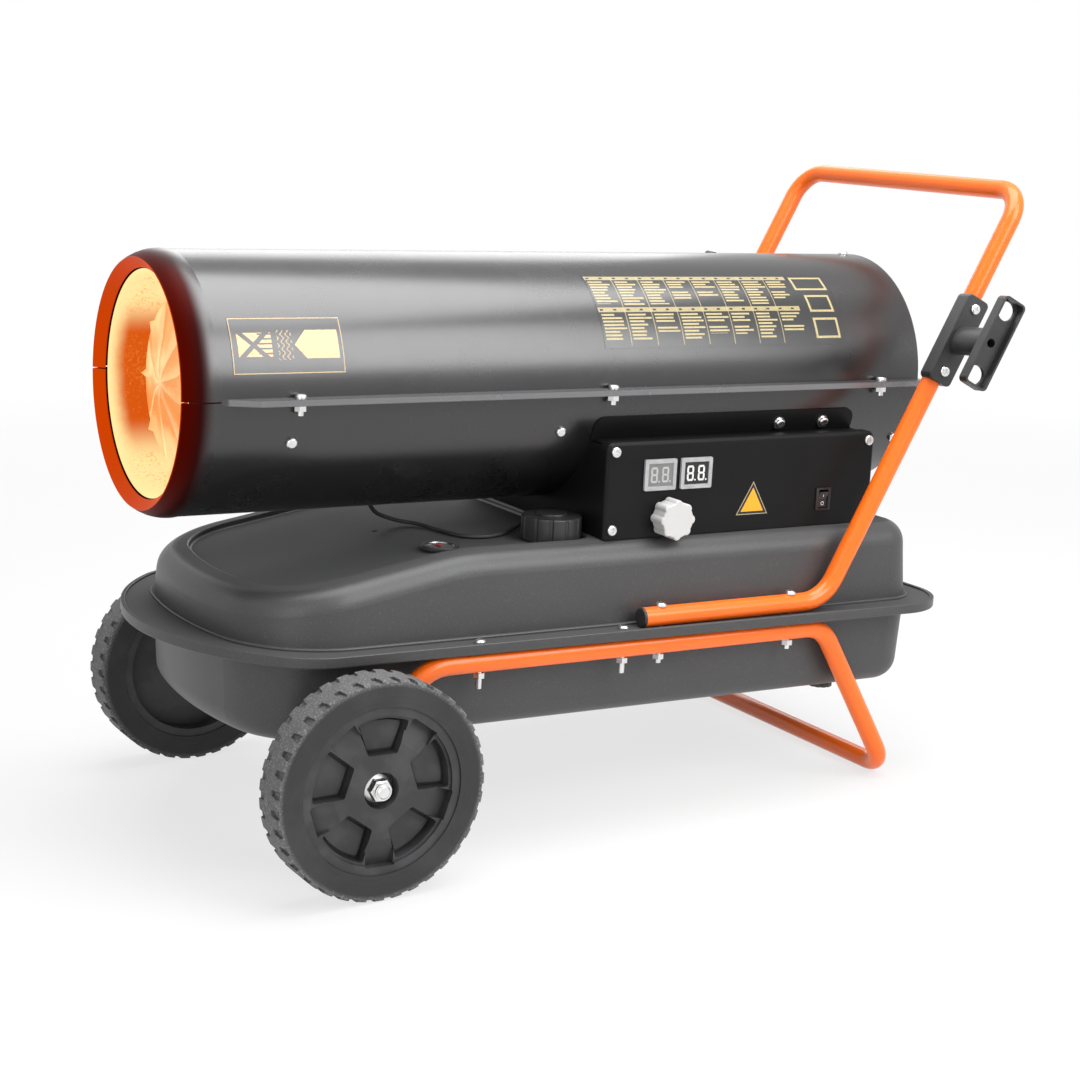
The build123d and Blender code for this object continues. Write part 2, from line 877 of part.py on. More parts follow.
def tank_base():
    flange = Pos(0, 0, rim_low) * extrude(rim_outline(), rim_thickness / 2 - seat_gap / 2)
    flange = fillet(flange.edges().group_by(Axis.Z)[0], rim_edge_radius)
    tub = extrude(wall_outline(), rim_low - tank_bottom, taper=tank_draft)
    tub = Pos(0, 0, rim_low) * Rot(180, 0, 0) * tub
    tub = fillet(tub.edges().group_by(Axis.Z)[0], tank_bottom_edge)
    inside = extrude(wall_outline(tank_wall), rim_low - tank_bottom - tank_wall, taper=tank_draft)
    inside = Pos(0, 0, rim_low) * Rot(180, 0, 0) * inside
    inside = fillet(inside.edges().group_by(Axis.Z)[0], tank_bottom_edge - tank_wall)
    mouth = Pos(0, 0, rim_low - seat_gap) * extrude(wall_outline(tank_wall), rim_thickness)
    body = tub + flange - inside - mouth
    body -= Pos(drain_x, drain_y, 0) * ring(drain_radius + hole_gap, 0, 0, tank_bottom + 2 * tank_wall)
    return body - through_bolt_holes()


def drain_plug():
    cap_edge = drain_cap_share * drain_radius
    cap = ring(cap_edge, 0, -drain_radius, -seat_gap)
    groove = Pos(cap_edge, 0, -drain_radius / 2) * Cylinder(recess_width, 2 * drain_radius)
    for index in range(cap_groove_count):
        cap -= Rot(0, 0, index * 360 / cap_groove_count) * groove
    stem = ring(drain_radius, 0, -drain_radius / 2, 2 * tank_wall)
    return Pos(drain_x, drain_y, tank_bottom) * (cap + stem)


def filler_neck():
    """Collar in the tank's opening that holds the strainer and takes the cap."""
    collar = ring(neck_radius, neck_bore_radius, -2 * tank_wall, neck_height)
    collar += ring(neck_flange_radius, neck_bore_radius, seat_gap, neck_flange)
    return Pos(cap_x, cap_y, dish_floor) * collar


def fuel_strainer():
    """Basket that hangs in the filler neck by its flange."""
    radius = neck_bore_radius - curve_gap
    basket = ring(radius, radius - strainer_wall, -strainer_length, strainer_wall)
    basket += ring(radius, 0, -strainer_length, -strainer_length + strainer_wall)
    basket += ring(neck_radius - curve_gap, radius - strainer_wall, seat_gap, strainer_wall)
    return Pos(cap_x, cap_y, neck_top) * basket


def cap_gasket():
    low = neck_top + strainer_wall + seat_gap
    return Pos(cap_x, cap_y, low) * ring(neck_radius - curve_gap, neck_bore_radius, 0, gasket_thickness)


def fuel_cap():
    top = cap_ceiling + cap_top_wall
    low = top - cap_height
    body = ring(cap_radius, 0, low, top)
    body = fillet(body.edges().group_by(Axis.Z)[-1], cap_top_wall / 2)
    for index in range(cap_groove_count):
        groove = Pos(cap_radius + cap_groove_radius / 3, 0, 0) * ring(cap_groove_radius, 0, low, top)
        body -= Rot(0, 0, index * 360 / cap_groove_count) * groove
    dome = ring(cap_dome_radius, 0, top, top + cap_dome)
    body += fillet(dome.edges().group_by(Axis.Z)[-1], cap_dome * bolt_dome_share)
    body -= ring(neck_radius + curve_gap, 0, low - cut_overrun, cap_ceiling)
    return Pos(cap_x, cap_y, 0) * body


def fuel_gauge():
    bezel = ring(gauge_radius, 0, seat_gap, gauge_bezel)
    bezel = fillet(bezel.edges().group_by(Axis.Z)[-1], gauge_bezel / 3)
    bezel -= ring(gauge_glass_radius, 0, gauge_bezel - gauge_glass_depth, gauge_bezel + cut_overrun)
    body = ring(gauge_body_radius, 0, -2 * gauge_float_height, seat_gap)
    stem = ring(gauge_stem_radius, 0, -gauge_depth, 0)
    lever = ring(gauge_float_radius, 0, -gauge_depth, gauge_float_height - gauge_depth)
    return Pos(gauge_x, gauge_y, dish_level(gauge_x)) * (bezel + body + stem + lever)


def dish_level(x):
    return top_level(x) - dish_depth


# Barrel

def barrel_skin():
    """Whole barrel turned about Z, with its lip rolled into the mouth."""
    shoulder = barrel_front + nose_length
    bulge = sin(radians(nose_bulge_angle))
    outer_mid = (shoulder - nose_length * bulge, nose_radius + (barrel_radius - nose_radius) * bulge)
    lip = (barrel_front, nose_radius)
    inner_lip = (barrel_front + shell_sheet * 3 / 2, nose_radius - shell_sheet / 2)
    inner_mid = (outer_mid[0] + shell_sheet / 2, outer_mid[1] - shell_sheet)
    mouth = (barrel_front + mouth_depth, mouth_radius)
    mouth_back = (mouth[0] + shell_sheet, mouth_radius + shell_sheet / 2)
    edges = [
        ThreePointArc(lip, outer_mid, (shoulder, barrel_radius)),
        Line((shoulder, barrel_radius), (barrel_rear, barrel_radius)),
        Line((barrel_rear, barrel_radius), (barrel_rear, shell_inner)),
        Line((barrel_rear, shell_inner), (shoulder, shell_inner)),
        ThreePointArc((shoulder, shell_inner), inner_mid, inner_lip),
        Line(inner_lip, mouth_back),
        Line(mouth_back, mouth),
        Line(mouth, lip),
    ]
    section = make_face([Plane.XZ * edge for edge in edges])
    return Pos(0, 0, barrel_height) * revolve(section, Axis.X)


def half_shell(skin, up):
    """Upper half for up = 1, lower half for up = -1, with its seam flanges."""
    reach = barrel_radius + flange_width
    length = barrel_rear - barrel_front
    z_low, z_high = sorted((barrel_height + up * seam_gap, barrel_height + up * 2 * reach))
    keep = block(barrel_front - length, barrel_rear + length, -2 * reach, 2 * reach, z_low, z_high)
    half = skin & keep
    plan = make_face(
        Polyline(
            (flange_front, barrel_radius - shell_sheet / 2),
            (flange_front + flange_taper, reach),
            (barrel_rear, reach),
            (barrel_rear, barrel_radius - shell_sheet / 2),
            close=True,
        )
    )
    low = seat_gap / 2 if up > 0 else -flange_thickness
    flange = extrude(plan, flange_thickness - seat_gap / 2, dir=(0, 0, 1))
    flange = Pos(0, 0, barrel_height + low) * flange
    inside = ring(barrel_radius - shell_sheet / 2, 0, barrel_front, barrel_rear + cut_overrun)
    flange -= along_barrel(inside)
    half += [flange, mirror(flange, about=Plane.XZ)]
    cuts = []
    for x in seam_bolt_places:
        for side in sides:
            hole = ring(bolt_radius + hole_gap, 0, -cut_overrun, cut_overrun)
            cuts.append(Pos(x, side * (barrel_radius + seam_bolt_offset), barrel_height) * hole)
    cuts += radial_holes(shell_holes(up), shell_inner - cut_overrun, barrel_radius + cut_overrun)
    if up < 0:
        for place, radius in (
            (Pos(fuel_hose_x, 0, 0), hose_radius),
            (Pos(cable_exit_x, cable_exit_y, 0), cable_radius),
        ):
            cuts.append(place * ring(radius + curve_gap, 0, tank_top_level, barrel_height))
    return half - cuts


def shell_holes(up):
    """Places, angles and radii of the holes that a shell half has for its screws."""
    holes = []
    if up < 0:
        holes += stand_off_holes() + bracket_bolt_holes()
    for angle in guard_screw_angles:
        if (angle < 0) == (up > 0):
            holes.append((guard_screw_x, angle, screw_radius))
    return holes


def stand_off_holes():
    return [(x, angle, bolt_radius) for x in stand_off_places for angle in both_angles(stand_off_angle)]


def bracket_bolt_holes():
    return [(x, angle, bolt_radius) for x in bracket_bolt_places for angle in both_angles(bracket_bolt_angle)]


def radial_holes(places, low, high):
    return [barrel_spoke(x, angle) * ring(radius + hole_gap, 0, low, high) for x, angle, radius in places]


def seam_bolts():
    length = 2 * flange_thickness + 2 * seat_gap + nut_height + bolt_tail
    seat = barrel_height + flange_thickness + seat_gap
    y = barrel_radius + seam_bolt_offset
    return [Pos(x, side * y, seat) * bolt(length) for x in seam_bolt_places for side in sides]


def hex_nuts():
    parts = []
    for side in sides:
        low = barrel_height - flange_thickness - seat_gap - nut_height
        for x in seam_bolt_places:
            parts.append(Pos(x, side * (barrel_radius + seam_bolt_offset), low) * nut())
        low = frame_z - tube_radius - seat_gap - nut_height
        for x in frame_bolt_places + handle_bolt_places:
            parts.append(Pos(x, side * tube_half_track, low) * nut())
    inner = shell_inner - seat_gap - bracket_sheet - curve_gap - nut_height
    for x, angle, radius in bracket_bolt_holes():
        parts.append(barrel_spoke(x, angle) * Pos(0, 0, inner) * nut())
    return parts


def bracket_bolts():
    """Bolts through trough, shell and motor bracket, each on a washer curved to the trough."""
    seat = saddle_outer + shell_sheet
    length = seat - shell_inner + bracket_sheet + nut_height + bolt_tail
    washer = ring(bolt_head_radius + shell_sheet, 0, saddle_outer - shell_sheet, seat)
    washer -= across_spoke(saddle_outer + seat_gap)
    whole = Pos(0, 0, seat) * bolt(length) + washer
    return [barrel_spoke(x, angle) * whole for x, angle, radius in bracket_bolt_holes()]


def across_spoke(radius):
    """Cylinder about the barrel axis, in the axes of a spoke."""
    return Rot(0, 90, 0) * ring(radius, 0, -barrel_radius, barrel_radius)


# Hot parts

def heat_liner():
    tube = along_barrel(ring(liner_radius, liner_inner, liner_front, liner_rear))
    return tube - radial_holes(stand_off_holes(), chamber_radius, barrel_radius)


def stand_offs():
    """Spacer tubes on the side screws: shell to liner, and liner to chamber."""
    parts = []
    for low, high in ((chamber_radius, liner_inner), (liner_radius, shell_inner)):
        tube = ring(stand_off_radius, bolt_radius + running_gap, low - shell_sheet, high + shell_sheet)
        tube &= across_spoke(high - seat_gap)
        tube -= across_spoke(low + seat_gap)
        parts += [barrel_spoke(x, angle) * tube for x, angle, radius in stand_off_holes()]
    return parts


def side_screws():
    whole = Pos(0, 0, barrel_radius + seat_gap) * bolt(barrel_radius - chamber_inner + bolt_tail)
    return [barrel_spoke(x, angle) * whole for x, angle, radius in stand_off_holes()]


def combustion_chamber():
    body = ring(chamber_radius, chamber_inner, chamber_front, chamber_rear)
    middle = chamber_radius - chamber_sheet / 2
    plate = ring(middle, burner_port_radius, chamber_rear - chamber_sheet, chamber_rear)
    slot = Pos(swirl_slot_radius, 0, chamber_rear) * Rot(0, 0, swirl_turn)
    slot *= Box(swirl_slot_length, swirl_slot_width, 4 * chamber_sheet)
    for index in range(swirl_slot_count):
        plate -= Rot(0, 0, index * 360 / swirl_slot_count) * slot
    body = along_barrel(body + (plate - burner_ports()))
    return body - radial_holes(stand_off_holes(), chamber_inner - cut_overrun, chamber_radius + cut_overrun)


def burner_ports():
    """Holes for the electrode and the photocell beside the burner."""
    ports = []
    for angle, offset, radius in (
        (electrode_angle, electrode_offset, electrode_radius),
        (photocell_angle, photocell_offset, photocell_radius),
    ):
        port = ring(radius + hole_gap, 0, 0, chamber_rear + cut_overrun)
        ports.append(Rot(0, 0, angle) * Pos(offset, 0, 0) * port)
    return ports


def front_baffle():
    """Dished disc with pressed folds, held to the liner by an upper and a lower tab."""
    plane = baffle_plane
    rise = baffle_dish
    edges = Polyline(
        (plane - rise, 0),
        (plane - rise, baffle_flat_radius),
        (plane, baffle_radius),
        (plane + baffle_sheet, baffle_radius),
        (plane - rise + baffle_sheet, baffle_flat_radius),
        (plane - rise + baffle_sheet, 0),
        close=True,
    )
    disc = revolve(make_face(edges), Axis.X)
    slope = Vector(rise, 0, baffle_radius - baffle_flat_radius).normalized()
    slope_length = hypot(rise, baffle_radius - baffle_flat_radius)
    near_end = (baffle_fold_tip, 2 * baffle_fold_tip)
    far_end = (baffle_fold_radius, slope_length - baffle_fold_radius)
    ends = []
    for size, reach in (near_end, far_end):
        start = Vector(plane - rise, 0, baffle_flat_radius) + slope * reach
        ridge = Polyline((-size, -baffle_sheet / 2), (0, size), (size, -baffle_sheet / 2), close=True)
        ends.append(Plane(origin=start, x_dir=(0, 1, 0), z_dir=slope) * make_face(ridge))
    fold = loft(ends, ruled=True)
    whole = disc + [Rot(index * 360 / baffle_fold_count, 0, 0) * fold for index in range(baffle_fold_count)]
    half = tab_width / 2
    within = Rot(0, 90, 0) * ring(liner_inner - seat_gap, 0, plane - rise, plane + 2 * tab_foot)
    rolled = Rot(0, 90, 0) * ring(liner_inner, liner_inner - baffle_sheet, plane - rise, plane + 2 * tab_foot)
    for up in sides:
        z_low, z_high = sorted((up * (baffle_radius - tab_foot / 2), up * liner_inner))
        tab = block(plane, plane + baffle_sheet, -half, half, z_low, z_high)
        z_low, z_high = sorted((up * (liner_inner - 3 * baffle_sheet), up * liner_inner))
        foot = block(plane, plane + tab_foot, -half, half, z_low, z_high)
        whole += [tab & within, foot & rolled & within]
    return Pos(0, 0, barrel_height) * whole


# Burner head

def nozzle_adaptor():
    """Cast block behind the swirl plate, with its fuel and air inlets and a fixing flange."""
    reach = burner_port_radius + electrode_radius
    flange = ring(reach, burner_radius - shell_sheet, chamber_rear + seat_gap, chamber_rear + box_sheet)
    flange -= burner_ports()
    seat = chamber_rear - nozzle_seat
    body = ring(burner_radius, 0, seat, chamber_rear + burner_length)
    bore = ring(nozzle_tip_radius + running_gap, 0, seat, chamber_rear + burner_length / 2)
    return along_barrel(body + flange - bore)


def spray_nozzle():
    seat = chamber_rear - nozzle_seat - seat_gap
    body = hexagon(nozzle_across_flats, seat - nozzle_length + nozzle_tip_length, seat)
    tip = ring(nozzle_tip_radius * 1.5, 0, seat - nozzle_length, seat)
    stem = ring(nozzle_tip_radius, 0, seat, seat + nozzle_length / 2)
    return along_barrel(body + tip + stem)


def electrode():
    """Ceramic body with two bent pins beside the nozzle tip."""
    middle = chamber_rear - nozzle_seat
    ceramic = ring(electrode_radius, 0, middle - electrode_length / 3, middle + electrode_length * 2 / 3)
    low = chamber_rear + 2 * box_sheet
    collar = ring(electrode_radius + electrode_pin_radius, 0, low, low + 2 * box_sheet)
    pins = []
    for side in sides:
        pin = ring(electrode_pin_radius, 0, middle - electrode_length / 3 - electrode_pin_length, middle)
        pins.append(Pos(0, side * electrode_radius / 2, 0) * pin)
    whole = Pos(electrode_offset, 0, 0) * (ceramic + collar + pins)
    return along_barrel(Rot(0, 0, electrode_angle) * whole)


def photocell():
    low = chamber_rear + seat_gap
    body = ring(photocell_radius, 0, chamber_rear - chamber_sheet, chamber_rear + photocell_length)
    body += ring(photocell_radius + 2 * photocell_collar, 0, low, chamber_rear + photocell_collar)
    return along_barrel(Rot(0, 0, photocell_angle) * Pos(photocell_offset, 0, 0) * body)


# Motor, fan and pump

def motor():
    """Ribbed motor with end bells and a foot that stands on the bracket plate."""
    body = ring(motor_radius - motor_rib, 0, motor_front, motor_rear)
    for low in (motor_front, motor_rear - motor_bell):
        bell = ring(motor_radius, 0, low, low + motor_bell)
        body += fillet(bell.edges(), motor_rib)
    rib = Pos(motor_radius - motor_rib, 0, (motor_front + motor_rear) / 2)
    rib *= Box(2 * motor_rib, motor_rib, motor_rear - motor_front - motor_bell)
    for index in range(motor_rib_count):
        body += Rot(0, 0, (index + 0.5) * 360 / motor_rib_count) * rib
    body = along_barrel(body)
    foot_top = barrel_height - motor_radius + motor_bell / 2
    low = bracket_plate_level() + bracket_sheet + seat_gap
    half = motor_radius * motor_foot_share
    body += block(motor_front + motor_bell, motor_rear - motor_bell, -half, half, low, foot_top)
    return body - along_barrel(ring(shaft_radius + running_gap, 0, 0, barrel_rear))


def bracket_plate_level():
    """Underside of the plate that carries the motor."""
    return barrel_height - motor_radius - motor_foot_height - bracket_sheet


def motor_bracket():
    """Plate across the barrel whose ends are rolled to lie on the lower shell."""
    low = bracket_plate_level()
    radius = shell_inner - seat_gap
    plate_half = radius * cos(radians(bracket_flange_low_angle))
    plate = block(bracket_front, bracket_rear, -radius, radius, low, low + bracket_sheet)
    inside = along_barrel(ring(radius, 0, bracket_front - cut_overrun, bracket_rear + cut_overrun))
    band = along_barrel(ring(radius, radius - bracket_sheet, bracket_front, bracket_rear))
    band_low = min(low, barrel_height - radius * sin(radians(bracket_flange_low_angle)))
    band_high = barrel_height - radius * sin(radians(bracket_flange_high_angle))
    band &= block(bracket_front, bracket_rear, -2 * plate_half, 2 * plate_half, band_low, band_high)
    body = (plate & inside) + band
    return body - radial_holes(bracket_bolt_holes(), shell_inner - 4 * bracket_sheet, barrel_radius)


def fan():
    """Hub with cambered blades pressed out of sheet."""
    hub = ring(fan_hub_radius, 0, 0, fan_hub_length)
    hub = fillet(hub.edges().group_by(Axis.Z)[0], fan_hub_radius / 5)
    half = fan_blade_chord / 2
    faces = []
    for lift in (0, fan_blade_sheet):
        faces.append(ThreePointArc((-half, lift), (0, fan_blade_camber + lift), (half, lift)))
    ends = [Line(faces[0] @ end, faces[1] @ end) for end in (0, 1)]
    section = Rot(0, 0, fan_blade_pitch) * make_face(faces + ends)
    root = fan_hub_radius * fan_root_share
    blade = Plane(origin=(root, 0, fan_hub_length / 2), x_dir=(0, 1, 0), z_dir=(1, 0, 0)) * section
    blade = extrude(blade, fan_radius, dir=(1, 0, 0))
    blade &= ring(fan_radius, 0, -fan_blade_chord, 2 * fan_blade_chord)
    for index in range(fan_blade_count):
        hub += Rot(0, 0, index * 360 / fan_blade_count) * blade
    hub -= ring(shaft_radius + seat_gap, 0, -fan_blade_chord, 2 * fan_blade_chord)
    return along_barrel(Pos(0, 0, fan_hub_front) * hub)


def drive_shaft():
    rod = ring(shaft_radius, 0, shaft_front, shaft_rear)
    return along_barrel(chamfer(rod.edges(), shaft_radius / 8))


def pump_body():
    low = motor_rear + seat_gap
    body = ring(pump_radius, 0, low, low + pump_length)
    body -= Pos(pump_offset, 0, 0) * ring(pump_bore_radius, 0, low, low + 2 * pump_length)
    return along_barrel(body)


def pump_rotor():
    gap = seat_gap + curve_gap
    low = motor_rear + gap
    rotor = ring(pump_rotor_radius, shaft_radius + seat_gap, low, motor_rear + pump_length - curve_gap)
    slot = Pos(pump_rotor_radius - vane_slot_depth / 2, 0, low + pump_length / 2)
    slot *= Box(vane_slot_depth + seat_gap, vane_slot_width, 2 * pump_length)
    for index in range(vane_count):
        rotor -= Rot(0, 0, index * 360 / vane_count) * slot
    return along_barrel(rotor)


def pump_cover():
    """End cover with the two filter domes and the hose outlet."""
    low = motor_rear + pump_length + 2 * seat_gap
    body = ring(pump_radius, 0, low, low + pump_cover_length)
    body = fillet(body.edges().group_by(Axis.Z)[-1], pump_cover_length / 4)
    body -= ring(shaft_radius + curve_gap, 0, low - cut_overrun, shaft_rear + curve_gap)
    return along_barrel(body)


def pressure_gauge():
    low = motor_rear + pump_length + pump_cover_length + 3 * seat_gap
    case = ring(pressure_gauge_radius, 0, low, low + pressure_gauge_length)
    case = fillet(case.edges().group_by(Axis.Z)[-1], shell_sheet)
    face_level = low + pressure_gauge_length - shell_sheet
    face = ring(pressure_gauge_radius - 2 * shell_sheet, 0, face_level, face_level + cut_overrun)
    return along_barrel(Pos(-pressure_gauge_offset, 0, 0) * (case - face))


def air_hose():
    """Runs from the pump cover along the foot of the barrel to the burner head."""
    start_x = motor_rear + pump_length + pump_cover_length / 2
    points = [
        (start_x, pump_radius + seat_gap),
        (start_x, air_hose_lane_radius),
        (air_hose_burner_x, air_hose_lane_radius),
        (air_hose_burner_x, burner_radius + seat_gap),
    ]
    out = Vector(0, cos(radians(air_hose_angle)), -sin(radians(air_hose_angle)))
    route = [Vector(x, 0, barrel_height) + out * reach for x, reach in points]
    hose = bent_tube(route, [air_hose_bend, air_hose_bend], hose_radius)
    hose -= along_barrel(ring(burner_radius + seat_gap, 0, 0, motor_front))
    return hose - along_barrel(ring(pump_radius + seat_gap, 0, motor_rear, barrel_rear))


def fuel_hose():
    """Rises from its fitting on the tank through the barrel to the burner head."""
    low = tank_top_level + seat_gap
    fitting = hexagon(2 * fuel_fitting_radius, low, tank_top_level + fuel_fitting_height)
    pickup = ring(fuel_fitting_radius / 2 - hole_gap, 0, tank_bottom + 4 * tank_wall, low)
    hose = ring(hose_radius, 0, low, barrel_height)
    hose = Pos(fuel_hose_x, 0, 0) * (hose + fitting + pickup)
    return hose - along_barrel(ring(burner_radius + seat_gap, 0, 0, barrel_rear))


def rear_guard():
    """Wire guard: rings and spokes inside a flat band."""
    outer = shell_inner - seat_gap
    low = guard_plane
    body = ring(outer, outer - guard_band, guard_screw_x - guard_band_width / 2, low + guard_wire)
    step = (outer - guard_band - guard_ring_inner_radius) / guard_ring_count
    for index in range(guard_ring_count):
        radius = guard_ring_inner_radius + index * step
        body += ring(radius + guard_wire / 2, radius - guard_wire / 2, low, low + guard_wire)
    reach = outer - guard_band / 2
    wire = Pos((guard_ring_inner_radius + reach) / 2, 0, low - guard_wire / 2)
    wire *= Box(reach - guard_ring_inner_radius, guard_wire, 2 * guard_wire)
    for index in range(guard_spoke_count):
        body += Rot(0, 0, (index + 0.5) * 360 / guard_spoke_count) * wire
    body = along_barrel(body)
    holes = [(guard_screw_x, angle, screw_radius) for angle in guard_screw_angles]
    return body - radial_holes(holes, shell_inner - 2 * guard_wire, barrel_radius)


def sheet_screws():
    """Equal pan-head screws: control panel, control box floor and rear guard."""
    parts = []
    for x, z in panel_screw_places():
        parts.append(facing_out(x, z) * Pos(0, 0, seat_gap) * screw())
    for place in base_screw_places():
        parts.append(place * screw())
    for angle in guard_screw_angles:
        parts.append(barrel_spoke(guard_screw_x, angle) * Pos(0, 0, barrel_radius + seat_gap) * screw())
    return parts


# Control box

def panel_screw_places():
    inset = panel_screw_inset
    low = tank_top_level + inset
    high = box_top - inset
    return [(x, z) for x in (box_front_x + inset, box_rear_x - inset) for z in (low, high)]


def base_screw_places():
    xs = (box_front_x + base_screw_inset_x, box_rear_x - base_screw_inset_x)
    return [Pos(x, side * base_screw_y, box_floor + seat_gap) for x in xs for side in sides]


def base_box():
    """Sheet box on the tank whose trough carries the barrel, open to the front behind its lip."""
    inset = box_sheet + seat_gap
    x_low, x_high = box_front_x + inset, box_rear_x - inset
    y_low, y_high = box_face_y + inset, box_back_y
    z_high = box_top - inset
    shell = block(x_low, x_high, y_low, y_high, tank_top_level, z_high)
    shell = fillet(shell.edges().filter_by(Axis.Y).group_by(Axis.Z)[-1], cover_corner - inset)
    room = block(
        x_low + box_sheet,
        x_high - box_sheet,
        y_low + box_sheet,
        y_high - box_sheet,
        tank_top_level + box_sheet,
        z_high - box_sheet,
    )
    length = box_rear_x - box_front_x
    room -= along_barrel(ring(saddle_outer, 0, box_front_x - length, box_rear_x + length))
    window = block(
        x_low + box_side_lip,
        x_high - box_side_lip,
        y_low - cut_overrun,
        y_low + cut_overrun,
        box_floor + box_edge_lip,
        z_high - box_edge_lip,
    )
    trough_end = box_rear_x - saddle_rear_inset
    side_view = RectangleRounded(trough_end - x_low, 2 * (saddle_top - box_floor), saddle_corner)
    face_on = Plane(origin=((x_low + trough_end) / 2, 0, box_floor), x_dir=(1, 0, 0), z_dir=(0, -1, 0))
    trough = extrude(face_on * side_view, 2 * barrel_radius, both=True)
    trough &= along_barrel(ring(saddle_outer, 0, x_low, trough_end))
    trough &= block(x_low, x_high, y_low, y_high, tank_top_level + box_sheet / 2, saddle_top)
    body = shell + trough - room - window
    body -= along_barrel(ring(saddle_inner, 0, box_front_x - length, box_rear_x + length))
    body -= radial_holes(bracket_bolt_holes(), shell_inner, saddle_outer + cut_overrun)
    fitting = ring(fuel_fitting_radius + 4 * curve_gap, 0, tank_top_level - box_sheet, box_floor + box_sheet)
    body -= Pos(fuel_hose_x, 0, 0) * fitting
    body -= Pos(fuel_hose_x, 0, 0) * ring(hose_radius + curve_gap, 0, tank_top_level, barrel_height)
    for place in base_screw_places():
        body -= place * ring(screw_radius + hole_gap, 0, -screw_length, cut_overrun)
    for x, z in panel_screw_places():
        body -= facing_out(x, z) * ring(screw_radius + hole_gap, 0, -2 * screw_length, cut_overrun)
    gland_hole = ring(gland_thread_radius + hole_gap, 0, -gland_inside, cut_overrun)
    body -= Pos(box_rear_x, gland_y, gland_z) * Rot(0, 90, 0) * gland_hole
    cable_hole = ring(cable_radius + curve_gap, 0, 0, 4 * box_sheet)
    return body - Pos(box_front_x, cable_box_y, cable_box_z) * Rot(0, 90, 0) * cable_hole


def panel_cover():
    """Pressed front with flanges that lap over the box at the top and both ends."""
    outer = block(box_front_x, box_rear_x, box_face_y, box_face_y + cover_depth, tank_top_level, box_top)
    outer = fillet(outer.edges().filter_by(Axis.Y).group_by(Axis.Z)[-1], cover_corner)
    rims = outer.faces().sort_by(Axis.Y)[0].edges()
    outer = fillet([edge for edge in rims if (edge @ 0.5).Z > tank_top_level + box_sheet], cover_edge)
    inner = block(
        box_front_x + box_sheet,
        box_rear_x - box_sheet,
        box_face_y + box_sheet,
        box_face_y + 2 * cover_depth,
        tank_top_level - cut_overrun,
        box_top - box_sheet,
    )
    inner = fillet(inner.edges().filter_by(Axis.Y).group_by(Axis.Z)[-1], cover_corner - box_sheet)
    cover = outer - inner
    for x, z in panel_screw_places():
        cover -= facing_out(x, z) * ring(screw_radius + hole_gap, 0, -2 * box_sheet, cut_overrun)
    depth = 4 * box_sheet
    display_hole = centred_block(display_width, display_height, display_body_inset - hole_gap, -depth, depth)
    for x in display_centres_x:
        cover -= facing_out(x, display_z) * display_hole
    cover -= facing_out(knob_x, knob_z) * ring(dial_bush_radius + hole_gap, 0, -depth, depth)
    switch_hole = centred_block(switch_width, switch_height, switch_body_inset - hole_gap, -depth, depth)
    cover -= facing_out(switch_x, switch_z) * switch_hole
    return cover - along_barrel(ring(saddle_outer + curve_gap, 0, 0, barrel_rear))


def displays():
    front = display_bezel + seat_gap
    bezel = centred_block(display_width, display_height, 0, seat_gap, front)
    bezel = fillet(bezel.edges().filter_by(Axis.Z), box_sheet)
    low = -display_body_depth
    body = centred_block(display_width, display_height, display_body_inset, low, display_bezel)
    low = front - display_window_depth
    high = front + cut_overrun
    window = centred_block(display_width, display_height, display_window_inset, low, high)
    return [facing_out(x, display_z) * (bezel + body - window) for x in display_centres_x]


def thermostat():
    body = ring(dial_body_radius, 0, -box_sheet - seat_gap - dial_body_depth, -box_sheet - seat_gap)
    bush_part = ring(dial_bush_radius, 0, -box_sheet - seat_gap, dial_bush_height)
    bore_end = -box_sheet - dial_body_depth / 2
    bore = ring(dial_shaft_radius + running_gap, 0, bore_end, dial_bush_height + cut_overrun)
    return facing_out(knob_x, knob_z) * (body + bush_part - bore)


def thermostat_shaft():
    rod = ring(dial_shaft_radius, 0, curve_gap - box_sheet - dial_body_depth / 2, dial_shaft_top)
    return facing_out(knob_x, knob_z) * rod


def thermostat_knob():
    plan = Circle(knob_radius - knob_lobe_radius / 4)
    lobe = Pos(knob_radius - knob_lobe_radius / 2, 0) * Circle(knob_lobe_radius / 2)
    for index in range(knob_lobe_count):
        plan += Rot(0, 0, index * 360 / knob_lobe_count) * lobe
    body = Pos(0, 0, knob_stand) * extrude(plan, knob_height)
    body = fillet(body.edges().group_by(Axis.Z)[-1], knob_edge)
    body -= ring(dial_shaft_radius + seat_gap, 0, 0, dial_shaft_top + curve_gap)
    body -= ring(dial_bush_radius + 4 * curve_gap, 0, 0, dial_bush_height + curve_gap)
    return facing_out(knob_x, knob_z) * body


def switch_housing():
    bezel = centred_block(switch_width, switch_height, 0, seat_gap, seat_gap + switch_bezel)
    body = centred_block(switch_width, switch_height, switch_body_inset, -switch_body_depth, switch_bezel)
    reach = rocker_sweep() + curve_gap
    inner_width = rocker_width + 2 * curve_gap
    hollow = Box(inner_width, 2 * reach, 2 * reach + 2 * rocker_front)
    pins = Cylinder(rocker_pin_radius + running_gap, inner_width + 2 * rocker_pin_length)
    pins = Pos(0, 0, rocker_axis_z()) * Rot(0, 90, 0) * pins
    return facing_out(switch_x, switch_z) * (bezel + body - hollow - pins)


def rocker_axis_z():
    """Height of the rocker's pin relative to the panel face: below the bezel by the rocker's front depth."""
    return switch_bezel - rocker_front


def rocker_sweep():
    return hypot(rocker_length / 2, rocker_front)


